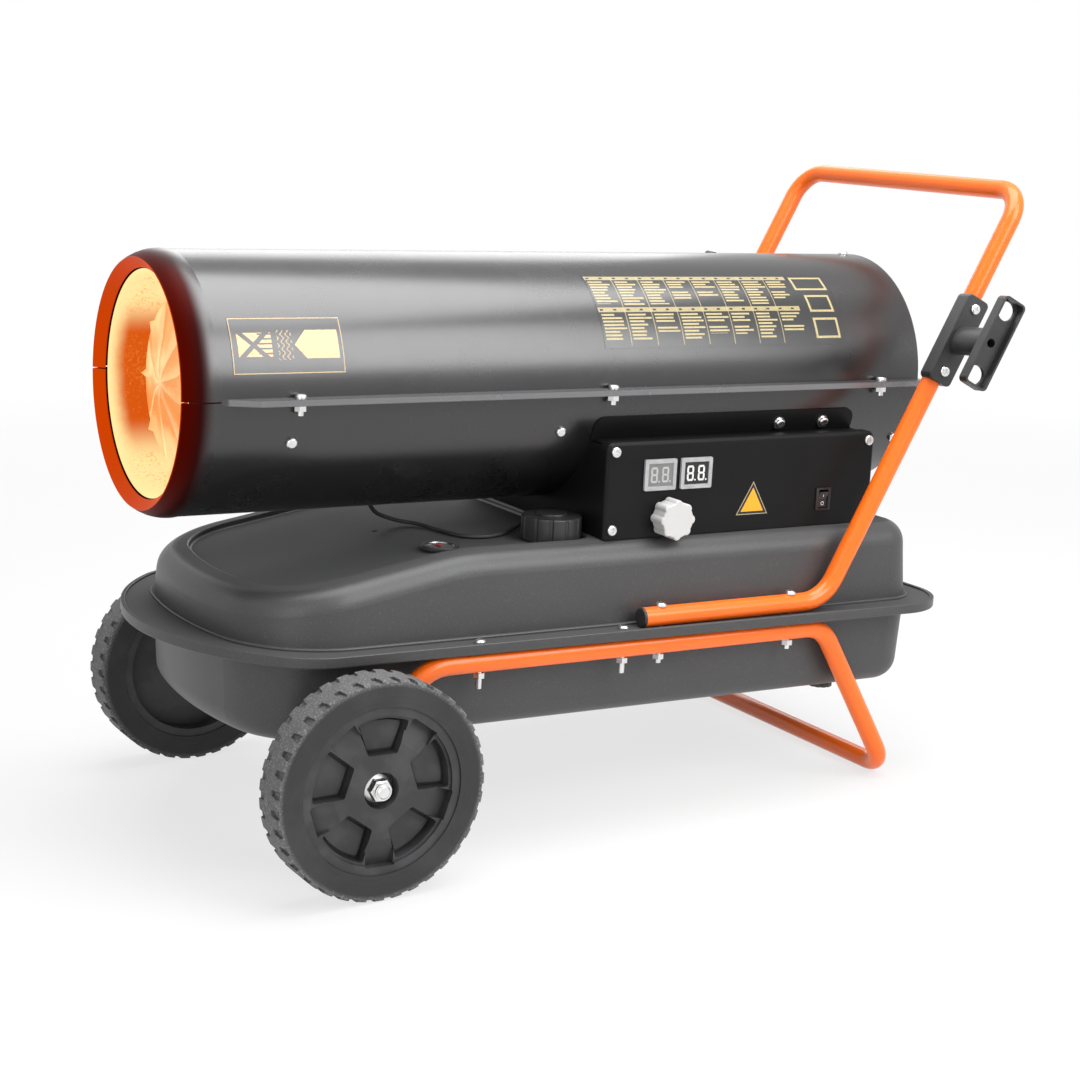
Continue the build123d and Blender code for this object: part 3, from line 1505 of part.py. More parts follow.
def switch_rocker():
    """Rocker at rest with its lower half pressed in."""
    half = rocker_length / 2
    profile = make_face(
        Polyline(
            (-half, rocker_front),
            (0, rocker_front - rocker_hollow),
            (half, rocker_front),
            (half * rocker_heel_share, -rocker_depth),
            (-half * rocker_heel_share, -rocker_depth),
            close=True,
        )
    )
    body = extrude(Plane.YZ * profile, rocker_width / 2, both=True)
    body += Rot(0, 90, 0) * Cylinder(rocker_pin_radius, rocker_width + 2 * rocker_pin_length)
    return facing_out(switch_x, switch_z) * Pos(0, 0, rocker_axis_z()) * Rot(rocker_throw, 0, 0) * body


def circuit_board():
    """Board on four stand-offs behind the panel, with relays and a capacitor."""
    back = box_face_y + box_sheet + seat_gap
    face = back + board_stand_off
    body = block(board_front_x, board_rear_x, face, face + board_sheet, board_low, board_high)
    for x in (board_front_x + board_inset, board_rear_x - board_inset):
        for z in (board_low + board_inset, board_high - board_inset):
            body += Pos(x, back, z) * Rot(-90, 0, 0) * ring(board_stand_off_radius, 0, 0, board_stand_off)
    side = board_inset * 2
    relay = Box(3 * board_inset, side, side)
    for share in relay_shares:
        x = board_front_x + share * (board_rear_x - board_front_x)
        body += Pos(x, face + board_sheet + side / 2 - seat_gap, board_high - 2 * side) * relay
    x = (board_front_x + board_rear_x) / 2
    capacitor = Rot(-90, 0, 0) * ring(board_inset, 0, -seat_gap, side)
    return body + Pos(x, face + board_sheet, board_low + 2 * board_inset) * capacitor


def ignition_transformer():
    low = box_floor + seat_gap
    middle = (transformer_x, transformer_y)
    body = block(
        middle[0] - transformer_length / 2,
        middle[0] + transformer_length / 2,
        middle[1] - transformer_width / 2,
        middle[1] + transformer_width / 2,
        low,
        low + transformer_height,
    )
    body = fillet(body.edges().filter_by(Axis.Z), transformer_terminal_radius)
    terminal = ring(transformer_terminal_radius, 0, -seat_gap, transformer_terminal_radius)
    for side in sides:
        x = middle[0] + side * transformer_length / 4
        body += Pos(x, middle[1] + transformer_width / 4, low + transformer_height) * terminal
    return body


def cable_gland():
    """Gland for the mains lead in the rear wall of the control box."""
    wall = box_sheet + seat_gap
    lock_nut = hexagon(gland_flats, -box_sheet - seat_gap - gland_inside / 2, -box_sheet - seat_gap)
    thread = ring(gland_thread_radius, 0, -box_sheet - gland_inside, seat_gap)
    flange = hexagon(gland_flats, seat_gap, gland_flange)
    dome = ring(gland_flats / 2 - seat_gap, 0, gland_flange, gland_outside)
    dome = fillet(dome.edges().group_by(Axis.Z)[-1], gland_bore_radius * bolt_dome_share)
    bore = ring(gland_bore_radius, 0, -3 * gland_inside, 2 * gland_outside)
    body = lock_nut + thread + flange + dome - bore
    return Pos(box_rear_x - wall, gland_y, gland_z) * Rot(0, 90, 0) * body


# Sensor cable

def sensor_cable():
    """Leaves the barrel, crosses the dish of the tank and enters the control box."""
    rest = dish_floor + cable_radius + cable_lift
    inner_top = barrel_height - sqrt((shell_inner - cut_overrun) ** 2 - cable_exit_y**2)
    route = [
        (cable_exit_x, cable_exit_y, inner_top),
        (cable_exit_x, cable_exit_y, 195),
        (124, 5, 184.5),
        (146, -8, rest),
        (150, -46, rest),
        (158, -78, rest),
        (190, -82, rest),
        (219, -63, rest + cable_radius),
        (246, cable_box_y - cable_radius, cable_box_z - 3 * cable_radius),
        (262, cable_box_y, cable_box_z),
        (box_front_x + 4 * box_sheet, cable_box_y, cable_box_z),
    ]
    points = [Vector(point) for point in route]
    bends = []
    for before, here, after in zip(points, points[1:], points[2:]):
        turn = (here - before).get_angle(after - here)
        shorter = min((here - before).length, (after - here).length)
        bends.append(cable_arc_share * shorter / tan(radians(turn) / 2))
    print("sensor cable bend radii in mm:", [round(bend, 1) for bend in bends])
    return bent_tube(points, bends, cable_radius)


# Cable hooks

def hook_axes(side):
    """Place on the handle tube: local X up the tube, Z outward."""
    x = handle_bend_x + hook_place * cos(handle_lean)
    z = handle_z + hook_place * sin(handle_lean)
    turn = radians(hook_turn)
    along = Vector(cos(handle_lean), 0, sin(handle_lean))
    across = Vector(-sin(handle_lean), 0, cos(handle_lean))
    out = Vector(0, side, 0) * cos(turn) + across * sin(turn)
    return Plane(origin=(x, side * tube_half_track, z), x_dir=along, z_dir=out)


def cable_hook():
    """Moulded saddle on the tube, a post and a slotted outer plate."""
    base = extrude(RectangleRounded(hook_length, hook_width, hook_corner), hook_face + hook_wrap)
    base = Pos(0, 0, -hook_wrap) * base
    base = fillet(base.edges().group_by(Axis.Z)[-1], hook_corner / 5)
    post = Pos(0, 0, hook_face) * extrude(Ellipse(hook_post_long, hook_post_short), hook_reach - hook_plate)
    low = hook_face + hook_reach - hook_plate
    plan = RectangleRounded(hook_length, hook_width, hook_corner)
    tray_plan = RectangleRounded(
        hook_length - 2 * hook_plate_wall, hook_width - 2 * hook_plate_wall, hook_corner - hook_plate_wall
    )
    plate = Pos(0, 0, low) * extrude(plan, hook_plate)
    plate -= Pos(0, 0, low + hook_plate_floor) * extrude(tray_plan, hook_plate)
    body = base + post + plate
    access_hole = ring(hook_hole_radius, 0, low - cut_overrun, low + 2 * hook_plate)
    screw_hole = ring(screw_radius + hole_gap, 0, 0, hook_face + cut_overrun)
    for side in sides:
        body -= Pos(side * hook_hole_offset, 0, 0) * (access_hole + screw_hole)
    body -= ring(hook_centre_hole, 0, low - hook_plate, low + 2 * hook_plate)
    tube = Rot(0, 90, 0) * Cylinder(tube_radius + seat_gap, 2 * hook_length)
    return body - tube


def cable_hooks():
    return [hook_axes(side) * cable_hook() for side in sides]


def hook_screws():
    parts = []
    for side in sides:
        for along in sides:
            place = Pos(along * hook_hole_offset, 0, hook_face + seat_gap)
            parts.append(hook_axes(side) * place * screw(hook_face))
    return parts


def standing():
    """Turns the chassis about its axle until wheels and leg bar stand level, centred on its length."""
    turned = Rot(0, degrees(tilt), 0)
    front = min(
        rim_front * cos(tilt) + rim_low * sin(tilt),
        barrel_front * cos(tilt) + (barrel_height - nose_radius) * sin(tilt),
        -wheel_radius,
    )
    rear = handle_top_x * cos(tilt) + handle_top_z * sin(tilt) + tube_radius
    return Pos(-(front + rear) / 2, 0, wheel_radius) * turned


skin = barrel_skin()
hub, rubber, inner_bush = wheel_hub(), tyre(), bush()

NODES = {
    "tank_base": tank_base,
    "tank_top": tank_top,
    "filler_neck": filler_neck,
    "fuel_strainer": fuel_strainer,
    "fuel_gauge": fuel_gauge,
    "drain_plug": drain_plug,
    "fuel_cap": fuel_cap,
    "cap_gasket": cap_gasket,
    "frame_tube": frame_tube,
    "axle": axle,
    "axle_spacers": axle_spacers,
    "axle_nuts": axle_nuts,
    "wheel_near": lambda: outward(-1) * hub,
    "wheel_far": lambda: outward(1) * hub,
    "tyre_near": lambda: outward(-1) * rubber,
    "tyre_far": lambda: outward(1) * rubber,
    "bush_near": lambda: outward(-1) * inner_bush,
    "bush_far": lambda: outward(1) * inner_bush,
    "handle_tube": handle_tube,
    "handle_end_plugs": handle_end_plugs,
    "frame_bolts": frame_bolts,
    "hex_nuts": hex_nuts,
    "upper_shell": lambda: half_shell(skin, 1),
    "lower_shell": lambda: half_shell(skin, -1),
    "seam_bolts": seam_bolts,
    "heat_liner": heat_liner,
    "combustion_chamber": combustion_chamber,
    "stand_offs": stand_offs,
    "side_screws": side_screws,
    "front_baffle": front_baffle,
    "nozzle_adaptor": nozzle_adaptor,
    "spray_nozzle": spray_nozzle,
    "electrode": electrode,
    "photocell": photocell,
    "motor": motor,
    "motor_bracket": motor_bracket,
    "bracket_bolts": bracket_bolts,
    "fan": fan,
    "drive_shaft": drive_shaft,
    "pump_body": pump_body,
    "pump_rotor": pump_rotor,
    "pump_cover": pump_cover,
    "pressure_gauge": pressure_gauge,
    "air_hose": air_hose,
    "fuel_hose": fuel_hose,
    "rear_guard": rear_guard,
    "sheet_screws": sheet_screws,
    "base_box": base_box,
    "panel_cover": panel_cover,
    "displays": displays,
    "thermostat": thermostat,
    "thermostat_shaft": thermostat_shaft,
    "thermostat_knob": thermostat_knob,
    "switch_housing": switch_housing,
    "switch_rocker": switch_rocker,
    "circuit_board": circuit_board,
    "ignition_transformer": ignition_transformer,
    "cable_gland": cable_gland,
    "sensor_cable": sensor_cable,
    "cable_hooks": cable_hooks,
    "hook_screws": hook_screws,
}

os.makedirs("parts", exist_ok=True)
for name, make in NODES.items():
    made = make()
    solids = made if isinstance(made, list) else [made]
    placed = [standing() * solid for solid in solids]
    whole = placed[0] if len(placed) == 1 else Compound(children=placed)
    whole.label = name
    export_step(whole, "parts/" + name + ".step")
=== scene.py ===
"""Oil-fired air heater on two wheels: finishes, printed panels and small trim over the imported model.

Pieces are modelled in millimetres in the chassis axes and then put in place: X runs along the barrel
to the handle, Z stands square to it, the near side is at negative Y and the origin is mid axle.
"""

import json
from math import atan2, cos, pi, radians, sin, sqrt

import bmesh
import bpy
from mathutils import Matrix, Vector


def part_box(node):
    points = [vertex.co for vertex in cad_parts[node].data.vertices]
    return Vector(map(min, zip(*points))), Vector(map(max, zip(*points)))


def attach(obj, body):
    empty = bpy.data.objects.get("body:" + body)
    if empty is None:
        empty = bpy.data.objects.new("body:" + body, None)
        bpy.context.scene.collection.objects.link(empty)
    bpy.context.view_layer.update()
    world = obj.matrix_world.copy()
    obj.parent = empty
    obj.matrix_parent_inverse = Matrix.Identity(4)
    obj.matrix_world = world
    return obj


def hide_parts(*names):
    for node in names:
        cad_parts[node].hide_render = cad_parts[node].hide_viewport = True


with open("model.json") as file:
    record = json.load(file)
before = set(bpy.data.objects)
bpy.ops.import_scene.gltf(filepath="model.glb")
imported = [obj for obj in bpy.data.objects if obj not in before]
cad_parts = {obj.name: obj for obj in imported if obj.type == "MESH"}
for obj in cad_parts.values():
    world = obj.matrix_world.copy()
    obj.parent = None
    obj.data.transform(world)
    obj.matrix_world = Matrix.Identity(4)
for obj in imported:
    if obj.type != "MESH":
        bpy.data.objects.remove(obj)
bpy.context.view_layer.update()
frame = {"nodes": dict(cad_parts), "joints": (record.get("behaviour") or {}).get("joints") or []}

bl_info = {
    "name": "Air heater finishes",
    "version": (1, 0, 0),
    "blender": (4, 5, 0),
    "location": "View3D > Sidebar > Heater",
    "description": "Finishes, printed panels and small trim for an oil-fired air heater",
    "category": "Object",
}

JOINTS = {joint["name"]: joint for joint in frame["joints"]}
AXLE = (Vector(JOINTS["wheel_near_spin"]["pos_m"]) + Vector(JOINTS["wheel_far_spin"]["pos_m"])) / 2
ALONG = Vector(JOINTS["fan_spin"]["axis"]).normalized()
TILT = atan2(-ALONG.z, ALONG.x)
MM = 0.001
CHASSIS = Matrix.Translation(AXLE) @ Matrix.Rotation(TILT, 4, "Y") @ Matrix.Scale(MM, 4)

# Places and sizes in chassis millimetres, and shares and angles beside them; a ramp has its two ends
BARREL_AXIS = 324.5
BARREL_RADIUS = 120.0
# Band of the painted highlight along the seam between the shells: its reach from the barrel's middle, then its
# half height
SEAM_HIGHLIGHT_REACH = (121.5, 123.0)
SEAM_HIGHLIGHT_HALF_HEIGHT = (2.0, 3.5)
# How far back from the mouth the coat turns matt and the painted firelight reaches
MOUTH_GLOW_REACH = (-141.0, -108.0)
LIP_END = -131.5
LIP_RADIUS = (112.4, 113.2)
LINER_RADIUS = (102.2, 102.6)
TREAD_FOOT = (93.0, 98.5)
SIDEWALL_EDGE = (92.0, 93.0)
PANEL_Y = -145.0
PLATE_ARC_STEP = radians(2.5)
PLATE_WALL_SHARE = 0.8
DISPLAYS = (("near_left", 329.0), ("near_right", 370.5))
DISPLAY_Z = 246.5
WINDOW_WIDTH = 27.4
WINDOW_HEIGHT = 21.4
WINDOW_LEVELS = (1.78, 2.03)
DIGIT_LEVELS = (1.98, 2.2)
DIGIT_PLACES = (-7.1, 5.5)
DIGIT_WIDTH_SHARE = 0.52
DIGIT_GAP_SHARE = 0.25
DIGIT_POINT_SHARE = 0.72
SWITCH_X = 528.0
SWITCH_Z = 212.5
SWITCH_AXIS_DEPTH = 3.0
SWITCH_LEAN = radians(8.0)
MARK_STEP = 4.2
MARK_LEVELS = (0.75, 1.1)
RING_LEVEL = 0.85
GAUGE_X = 118.0
GAUGE_Y = -102.0
GLASS_DEPTH = 1.0
DIAL_RADIUS = 13.8
GAUGE_RING_RADIUS = 13.1
TICK_SIZE = (0.4, 2.6, 0.1)
TICK_REACH = 9.8
TICKS = 9
TICK_ANGLE = radians(15)
FIRST_TICK = radians(-60)
LONG_TICK = 1.5
NEEDLE_ANGLE = radians(28)
NEEDLE_LENGTH = 9.0
NEEDLE_STEP = 4.0
BOSS_RADIUS = 1.5
TUBE_HALF_TRACK = 179.5
SLEEVE_REACH = 9.0
BEAD_RADIUS = 9.7
BEAD_RIPPLES = 18
BEAD_RIPPLE_SHARE = 0.04
FRAME_LEG_SLOPE = atan2(67.5, 90.0)
CABLE_ROUTE = (
    (98, 9, 210.05),
    (98, 9, 195),
    (124, 5, 184.5),
    (146, -8, 182.3),
    (150, -46, 182.3),
    (158, -78, 182.3),
    (190, -82, 182.3),
    (219, -63, 184.3),
    (246, -50, 191),
    (262, -48, 197),
    (275, -48, 197),
)

# The cable and the stage, in metres; the last two are shares of full white
CABLE_RADIUS = 0.002
FLOOR_RADIUS = 14.0
FLOOR_DROP = 0.0005
GREY_REACH = (0.9, 2.6)
GREY_SHARE = 0.72
WORLD_LIGHT = 0.25
LAMPS = (
    # name, place, aim, width, height, power in watts
    ("overhead_softbox", (0.12, -0.15, 2.0), (0.05, -0.1, 0.3), 1.4, 1.9, 50.0),
    ("front_softbox", (0.75, -1.75, 1.5), (0.0, 0.0, 0.3), 1.3, 1.3, 32.0),
    ("fill_softbox", (-1.9, -1.6, 1.0), (0.0, 0.0, 0.3), 1.2, 1.6, 11.0),
    ("rear_softbox", (0.9, 2.2, 1.5), (0.0, 0.0, 0.3), 1.6, 1.2, 14.0),
)

# The camera as fitted to the photo: its place in chassis millimetres, its turns and its focal length
CAMERA_PLACE = (-795.64, -1790.12, 592.90)
CAMERA_YAW = radians(31.178)
CAMERA_PITCH = radians(11.810)
CAMERA_ROLL = radians(2.936)
FOCAL_LENGTH_PIXELS = 2118.68
PHOTO_PIXELS = 1080
SENSOR_WIDTH = 36.0
NEAREST_SEEN = 0.05

# The table plate's pattern, as shares of the plate or of one row
COLUMN_WIDTH = 0.104
ROW_HEIGHT = 0.475
TABLE_FOOT = 0.03
LINE_HEIGHT = 0.088
LINE_FOOT = 0.04
UPPER_ROW = 0.505
FRAME_LINE = (0.009, 0.028)


# Shader maths

class Value:
    """A socket that can be written in sums."""

    def __init__(self, nodes, socket):
        self.nodes = nodes
        self.socket = socket

    def _maths(self, operation, *others):
        return self.nodes.maths(operation, self, *others)

    def __add__(self, other):
        return self._maths("ADD", other)

    __radd__ = __add__

    def __mul__(self, other):
        return self._maths("MULTIPLY", other)

    __rmul__ = __mul__

    def __sub__(self, other):
        return self._maths("SUBTRACT", other)

    def __rsub__(self, other):
        return self.nodes.maths("SUBTRACT", other, self)

    def __truediv__(self, other):
        return self._maths("DIVIDE", other)

    def __gt__(self, other):
        return self._maths("GREATER_THAN", other)

    def __lt__(self, other):
        return self._maths("LESS_THAN", other)

    def __abs__(self):
        return self._maths("ABSOLUTE")

    def wrapped(self, step):
        """Remainder by step, kept positive."""
        return self._maths("WRAP", step, 0.0)

    def most(self, other):
        return self._maths("MAXIMUM", other)

    def ramp(self, low, high, start=0.0, end=1.0):
        """Runs smoothly from start to end as the value goes from low to high."""
        settings = {"interpolation_type": "SMOOTHSTEP"}
        return self.nodes.node("ShaderNodeMapRange", settings, {0: self, 1: low, 2: high, 3: start, 4: end})

    def fall(self, low, high):
        """Runs smoothly from 1 to 0 as the value goes from low to high."""
        return self.ramp(low, high, 1.0, 0.0)


class Nodes:
    """The nodes of a material or of the world."""

    def __init__(self, owner, output):
        owner.use_nodes = True
        self.tree = owner.node_tree
        self.tree.nodes.clear()
        self.output = self.tree.nodes.new(output)

    def feed(self, socket, value):
        """Links a value to the socket, or writes a plain one into it."""
        if isinstance(value, Value):
            self.tree.links.new(value.socket, socket)
        elif socket.type == "RGBA" and len(value) == 3:
            socket.default_value = (*value, 1.0)
        else:
            socket.default_value = value

    def show(self, surface):
        self.feed(self.output.inputs[0], surface)

    def node(self, kind, settings=None, inputs=None, output=0):
        """Adds a node: its settings first, then the values or links of its inputs."""
        made = self.tree.nodes.new(kind)
        for name, value in (settings or {}).items():
            setattr(made, name, value)
        for name, value in (inputs or {}).items():
            self.feed(made.inputs[name], value)
        return Value(self, made.outputs[output])

    def maths(self, operation, *inputs):
        return self.node("ShaderNodeMath", {"operation": operation}, dict(enumerate(inputs)))

    def place(self):
        """Object coordinates in metres."""
        return self.node("ShaderNodeTexCoord", output="Object")

    def chassis(self):
        """Parts of the place in the chassis axes, in millimetres."""
        turned = {0: self.place(), 1: tuple(AXLE), 2: (0.0, TILT, 0.0), 3: (MM, MM, MM)}
        return self.parts(self.node("ShaderNodeMapping", {"vector_type": "TEXTURE"}, turned))

    def vector(self, *parts):
        return self.node("ShaderNodeCombineXYZ", None, dict(enumerate(parts)))

    def parts(self, vector):
        split = self.node("ShaderNodeSeparateXYZ", None, {0: vector}).socket.node
        return [Value(self, output) for output in split.outputs]

    def length(self, vector):
        return self.node("ShaderNodeVectorMath", {"operation": "LENGTH"}, {0: vector}, "Value")

    def noise(self, scale, detail=2.0, rough=0.5):
        inputs = {"Vector": self.place(), "Scale": scale, "Detail": detail, "Roughness": rough}
        return self.node("ShaderNodeTexNoise", None, inputs, "Fac")

    def cells(self, scale):
        return self.node("ShaderNodeTexVoronoi", None, {"Vector": self.place(), "Scale": scale}, "Distance")

    def scatter(self, *parts):
        """A random value from 0 to 1 for each place."""
        return self.node("ShaderNodeTexWhiteNoise", None, {0: self.vector(*parts)}, "Value")

    def blend(self, share, first, second):
        """Mixes two colours by a share."""
        settings = {"data_type": "RGBA", "clamp_factor": True}
        return self.node("ShaderNodeMix", settings, {0: share, 6: first, 7: second}, 2)

    def seen_rays(self):
        """1 on camera, mirror and glass rays, so that gloss and glass show the white ground too."""
        kinds = ("Is Camera Ray", "Is Glossy Ray", "Is Transmission Ray")
        camera, glossy, glass = (self.node("ShaderNodeLightPath", output=kind) for kind in kinds)
        return camera.most(glossy).most(glass)


class Finish(Nodes):
    """A procedural material with one Principled shader."""

    def __init__(self, name, **sockets):
        self.material = bpy.data.materials.new(name)
        super().__init__(self.material, "ShaderNodeOutputMaterial")
        shader = self.node("ShaderNodeBsdfPrincipled")
        self.sockets = shader.socket.node.inputs
        self.show(shader)
        for socket, value in sockets.items():
            self.set(socket.replace("_", " "), value)

    def set(self, name, value):
        self.feed(self.sockets[name], value)

    def bump(self, height, distance, strength):
        inputs = {"Strength": strength, "Distance": distance, "Height": height}
        self.set("Normal", self.node("ShaderNodeBump", None, inputs))


def shade(colour, *shares):
    """The colour times one share, or times a share for each of its three parts."""
    return tuple(part * share for part, share in zip(colour, shares * 3))


def inside(value, low, high):
    return (value > low) * (value < high)


# Finishes

def clouded(name, first, second, roughness, spread, cloud, grain=None, share=1.0, **sockets):
    """A finish whose colour and roughness follow a cloud of noise (scale and detail), from first to second.

    The grain stands in relief: scale and detail of its noise, then depth in metres and strength.
    """
    finish = Finish(name, **sockets)
    field = finish.noise(*cloud)
    finish.set("Base Color", finish.blend(field * share, first, second))
    finish.set("Roughness", roughness + field * spread)
    if grain:
        scale, detail, depth, strength = grain
        finish.bump(finish.noise(scale, detail), depth, strength)
    return finish.material


def plain(name, colour, roughness, **sockets):
    """A small part's finish: its colour clouded a little by fine noise."""
    return clouded(name, colour, shade(colour, 0.7), roughness, 0.08, (240.0, 3.0), share=0.4, **sockets)


def shell_paint(colours):
    """Gloss black powder coat, burnt matt round the hot-air mouth, where it is painted dark red with a faint
    glow as if lit by the fire; the lip is painted glowing with the fire's light, and a painted highlight runs
    along the seam.
    """
    finish = Finish("barrel_powder_coat", Specular_IOR_Level=0.85, Emission_Strength=0.7)
    x, y, z = finish.chassis()
    up = z - BARREL_AXIS
    dusty = finish.noise(9.0, 3.0)
    seam_highlight = abs(y).ramp(*SEAM_HIGHLIGHT_REACH) * abs(up).fall(*SEAM_HIGHLIGHT_HALF_HEIGHT)
    # The mask named heat marks the region round the mouth that is burnt matt and painted with firelight
    heat = x.fall(*MOUTH_GLOW_REACH)
    lip = (x < LIP_END) * finish.length(finish.vector(0.0, y, up)).fall(*LIP_RADIUS)
    base = finish.blend(dusty, colours.shell, shade(colours.shell, 1.7))
    # Painted highlight: the coat is painted pale grey along the outer edge of the seam between the shells
    base = finish.blend(seam_highlight, base, (0.14, 0.14, 0.145))
    # Painted firelight: near the mouth the coat is painted dark red and given a faint red glow, and the lip is
    # painted glowing, as if lit by the fire inside
    base = finish.blend(heat, base, (0.035, 0.0012, 0.0))
    glow = finish.blend(heat * heat, (0.0, 0.0, 0.0), (0.05, 0.001, 0.0))
    finish.set("Base Color", finish.blend(lip, base, shade(colours.lip, 0.35)))
    finish.set("Emission Color", finish.blend(lip, glow, colours.lip))
    finish.set("Metallic", heat.ramp(0.0, 0.6))
    finish.set("Roughness", 0.2 + dusty * 0.08 + finish.noise(60.0, 4.0) * 0.05 + heat * 0.3)
    finish.bump(finish.noise(420.0, 2.0), 0.00006, 0.5)
    return finish.material


def tank_plastic(colours):
    """Moulded black plastic with a fine spark grain, satin on the walls and dull with dust on top."""
    finish = Finish("tank_moulded_plastic")
    cloud = finish.noise(6.0, 4.0)
    grain = finish.noise(850.0, 3.0, 0.6)
    upward = finish.parts(finish.node("ShaderNodeTexCoord", output="Normal"))[2]
    base = finish.blend(cloud, colours.tank, shade(colours.tank, 1.45))
    finish.set("Base Color", finish.blend(grain.ramp(0.56, 0.7) * 0.5, base, (0.12, 0.12, 0.125)))
    finish.set("Roughness", 0.3 + cloud * 0.12 + grain * 0.1 + upward.ramp(0.9, 0.99) * 0.4)
    finish.bump(grain * 0.6 + finish.cells(700.0) * 0.5, 0.00012, 0.5)
    return finish.material


def tyre_rubber(colours):
    """Matt moulded tyre: tread made paler by dust and by painted light on the face the light falls on, darker
    sidewall with fine concentric lines.
    """
    finish = Finish("tyre_compound")
    x, _, z = finish.chassis()
    reach = finish.length(finish.vector(x, 0.0, z))
    cloud = finish.noise(22.0, 5.0)
    # The tread is painted paler, partly as dust and partly as painted light on its lit face; the specks on it
    # are dust
    dust = reach.ramp(*TREAD_FOOT)
    specks = finish.noise(520.0, 2.0).ramp(0.52, 0.62) * dust * 0.6
    lines = inside(reach.wrapped(4.5), 3.6, 4.3) * reach.fall(*SIDEWALL_EDGE)
    base = finish.blend(cloud.ramp(0.4, 0.68), colours.tyre, shade(colours.tyre, 1.7))
    base = finish.blend(dust * (0.55 + cloud * 0.45), base, colours.tread)
    finish.set("Base Color", finish.blend(specks, base, shade(colours.tread, 1.9)))
    finish.set("Roughness", 0.66 + cloud * 0.2)
    finish.bump(finish.noise(1100.0, 3.0) * 0.4 - lines, 0.0003, 0.6)
    return finish.material


def wheel_plastic(colours):
    """Moulded black wheel, scuffed in patches."""
    finish = Finish("wheel_moulded_plastic")
    cloud = finish.noise(30.0, 4.0)
    finish.set("Base Color", finish.blend(cloud.ramp(0.42, 0.66), colours.wheel, shade(colours.wheel, 1.9)))
    finish.set("Roughness", 0.46 + cloud * 0.16)
    finish.bump(finish.noise(1300.0, 2.0), 0.0001, 0.4)
    return finish.material


def hot_steel():
    """Liner and chamber: heat-stained steel, pale yellow at the mouth, above and below, orange inside."""
    finish = Finish("glowing_liner", Metallic=0.6, Emission_Strength=0.88)
    x, y, z = finish.chassis()
    up = z - BARREL_AXIS
    cloud = finish.noise(26.0, 5.0, 0.6)
    grain = finish.noise(420.0, 3.0)
    side = abs(up + 6.0).fall(38.0, 78.0)
    deep = (x + (cloud - 0.5) * 10.0).ramp(-131.0, -112.0)
    orange = deep * side
    behind = finish.length(finish.vector(0.0, y, up)).ramp(*LINER_RADIUS) * x.ramp(-133.0, -131.0)
    glow = finish.blend(orange, (1.0, 0.83, 0.38), (0.7, 0.095, 0.003))
    glow = finish.blend((grain * 0.6 + cloud * 0.4).ramp(0.5, 0.66) * deep * 0.5, glow, (0.9, 0.26, 0.03))
    glow = finish.blend(x.ramp(-95.0, -30.0), glow, (0.5, 0.035, 0.0))
    glow = finish.blend(behind, glow, (0.02, 0.0, 0.0))
    finish.set("Base Color", finish.blend(orange, (0.3, 0.2, 0.1), (0.12, 0.03, 0.004)))
    finish.set("Emission Color", finish.blend(x.ramp(-20.0, 60.0), glow, (0.0, 0.0, 0.0)))
    finish.set("Roughness", 0.4 + cloud * 0.25)
    finish.bump(finish.noise(300.0, 3.0), 0.0002, 0.4)
    return finish.material


def hot_baffle():
    """Pressed baffle: pale yellow glow with orange shadows that follow its folds."""
    finish = Finish("glowing_baffle", Metallic=0.5, Emission_Strength=0.85)
    x, y, z = finish.chassis()
    up = z - BARREL_AXIS
    cloud = finish.noise(16.0, 4.0)
    turn = (finish.maths("ARCTAN2", y, up) / (2 * pi) + cloud * 0.12) * 8.0
    petal = turn.wrapped(1.0).ramp(0.0, 0.9) * 0.55 + cloud.ramp(0.4, 0.62) * 0.45
    low = abs(up + 26.0).fall(4.0, 34.0)
    glow = finish.blend(petal * 0.9 + low * 0.5, (1.0, 0.84, 0.4), (0.86, 0.25, 0.035))
    finish.set("Base Color", finish.blend(cloud, (0.3, 0.2, 0.1), (0.2, 0.1, 0.04)))
    finish.set("Emission Color", finish.blend(x.ramp(-102.0, -95.0), glow, (0.62, 0.07, 0.0)))
    finish.bump(cloud, 0.0004, 0.4)
    return finish.material


def circuit_laminate():
    """Green board with paler tracks."""
    finish = Finish("circuit_laminate", Roughness=0.4)
    tracks = finish.cells(260.0) > 0.5
    finish.set("Base Color", finish.blend(tracks * 0.6, (0.02, 0.18, 0.06), (0.05, 0.32, 0.11)))
    return finish.material


def steel_mesh():
    """Woven strainer gauze."""
    finish = Finish("strainer_gauze", Roughness=0.35, Metallic=1.0)
    x, _, z = finish.chassis()
    wires = (x.wrapped(1.2) > 0.7) + (z.wrapped(1.2) > 0.7)
    finish.set("Base Color", finish.blend(wires * 0.5, (0.3, 0.3, 0.3), (0.72, 0.72, 0.73)))
    finish.bump(wires, 0.0002, 0.6)
    return finish.material


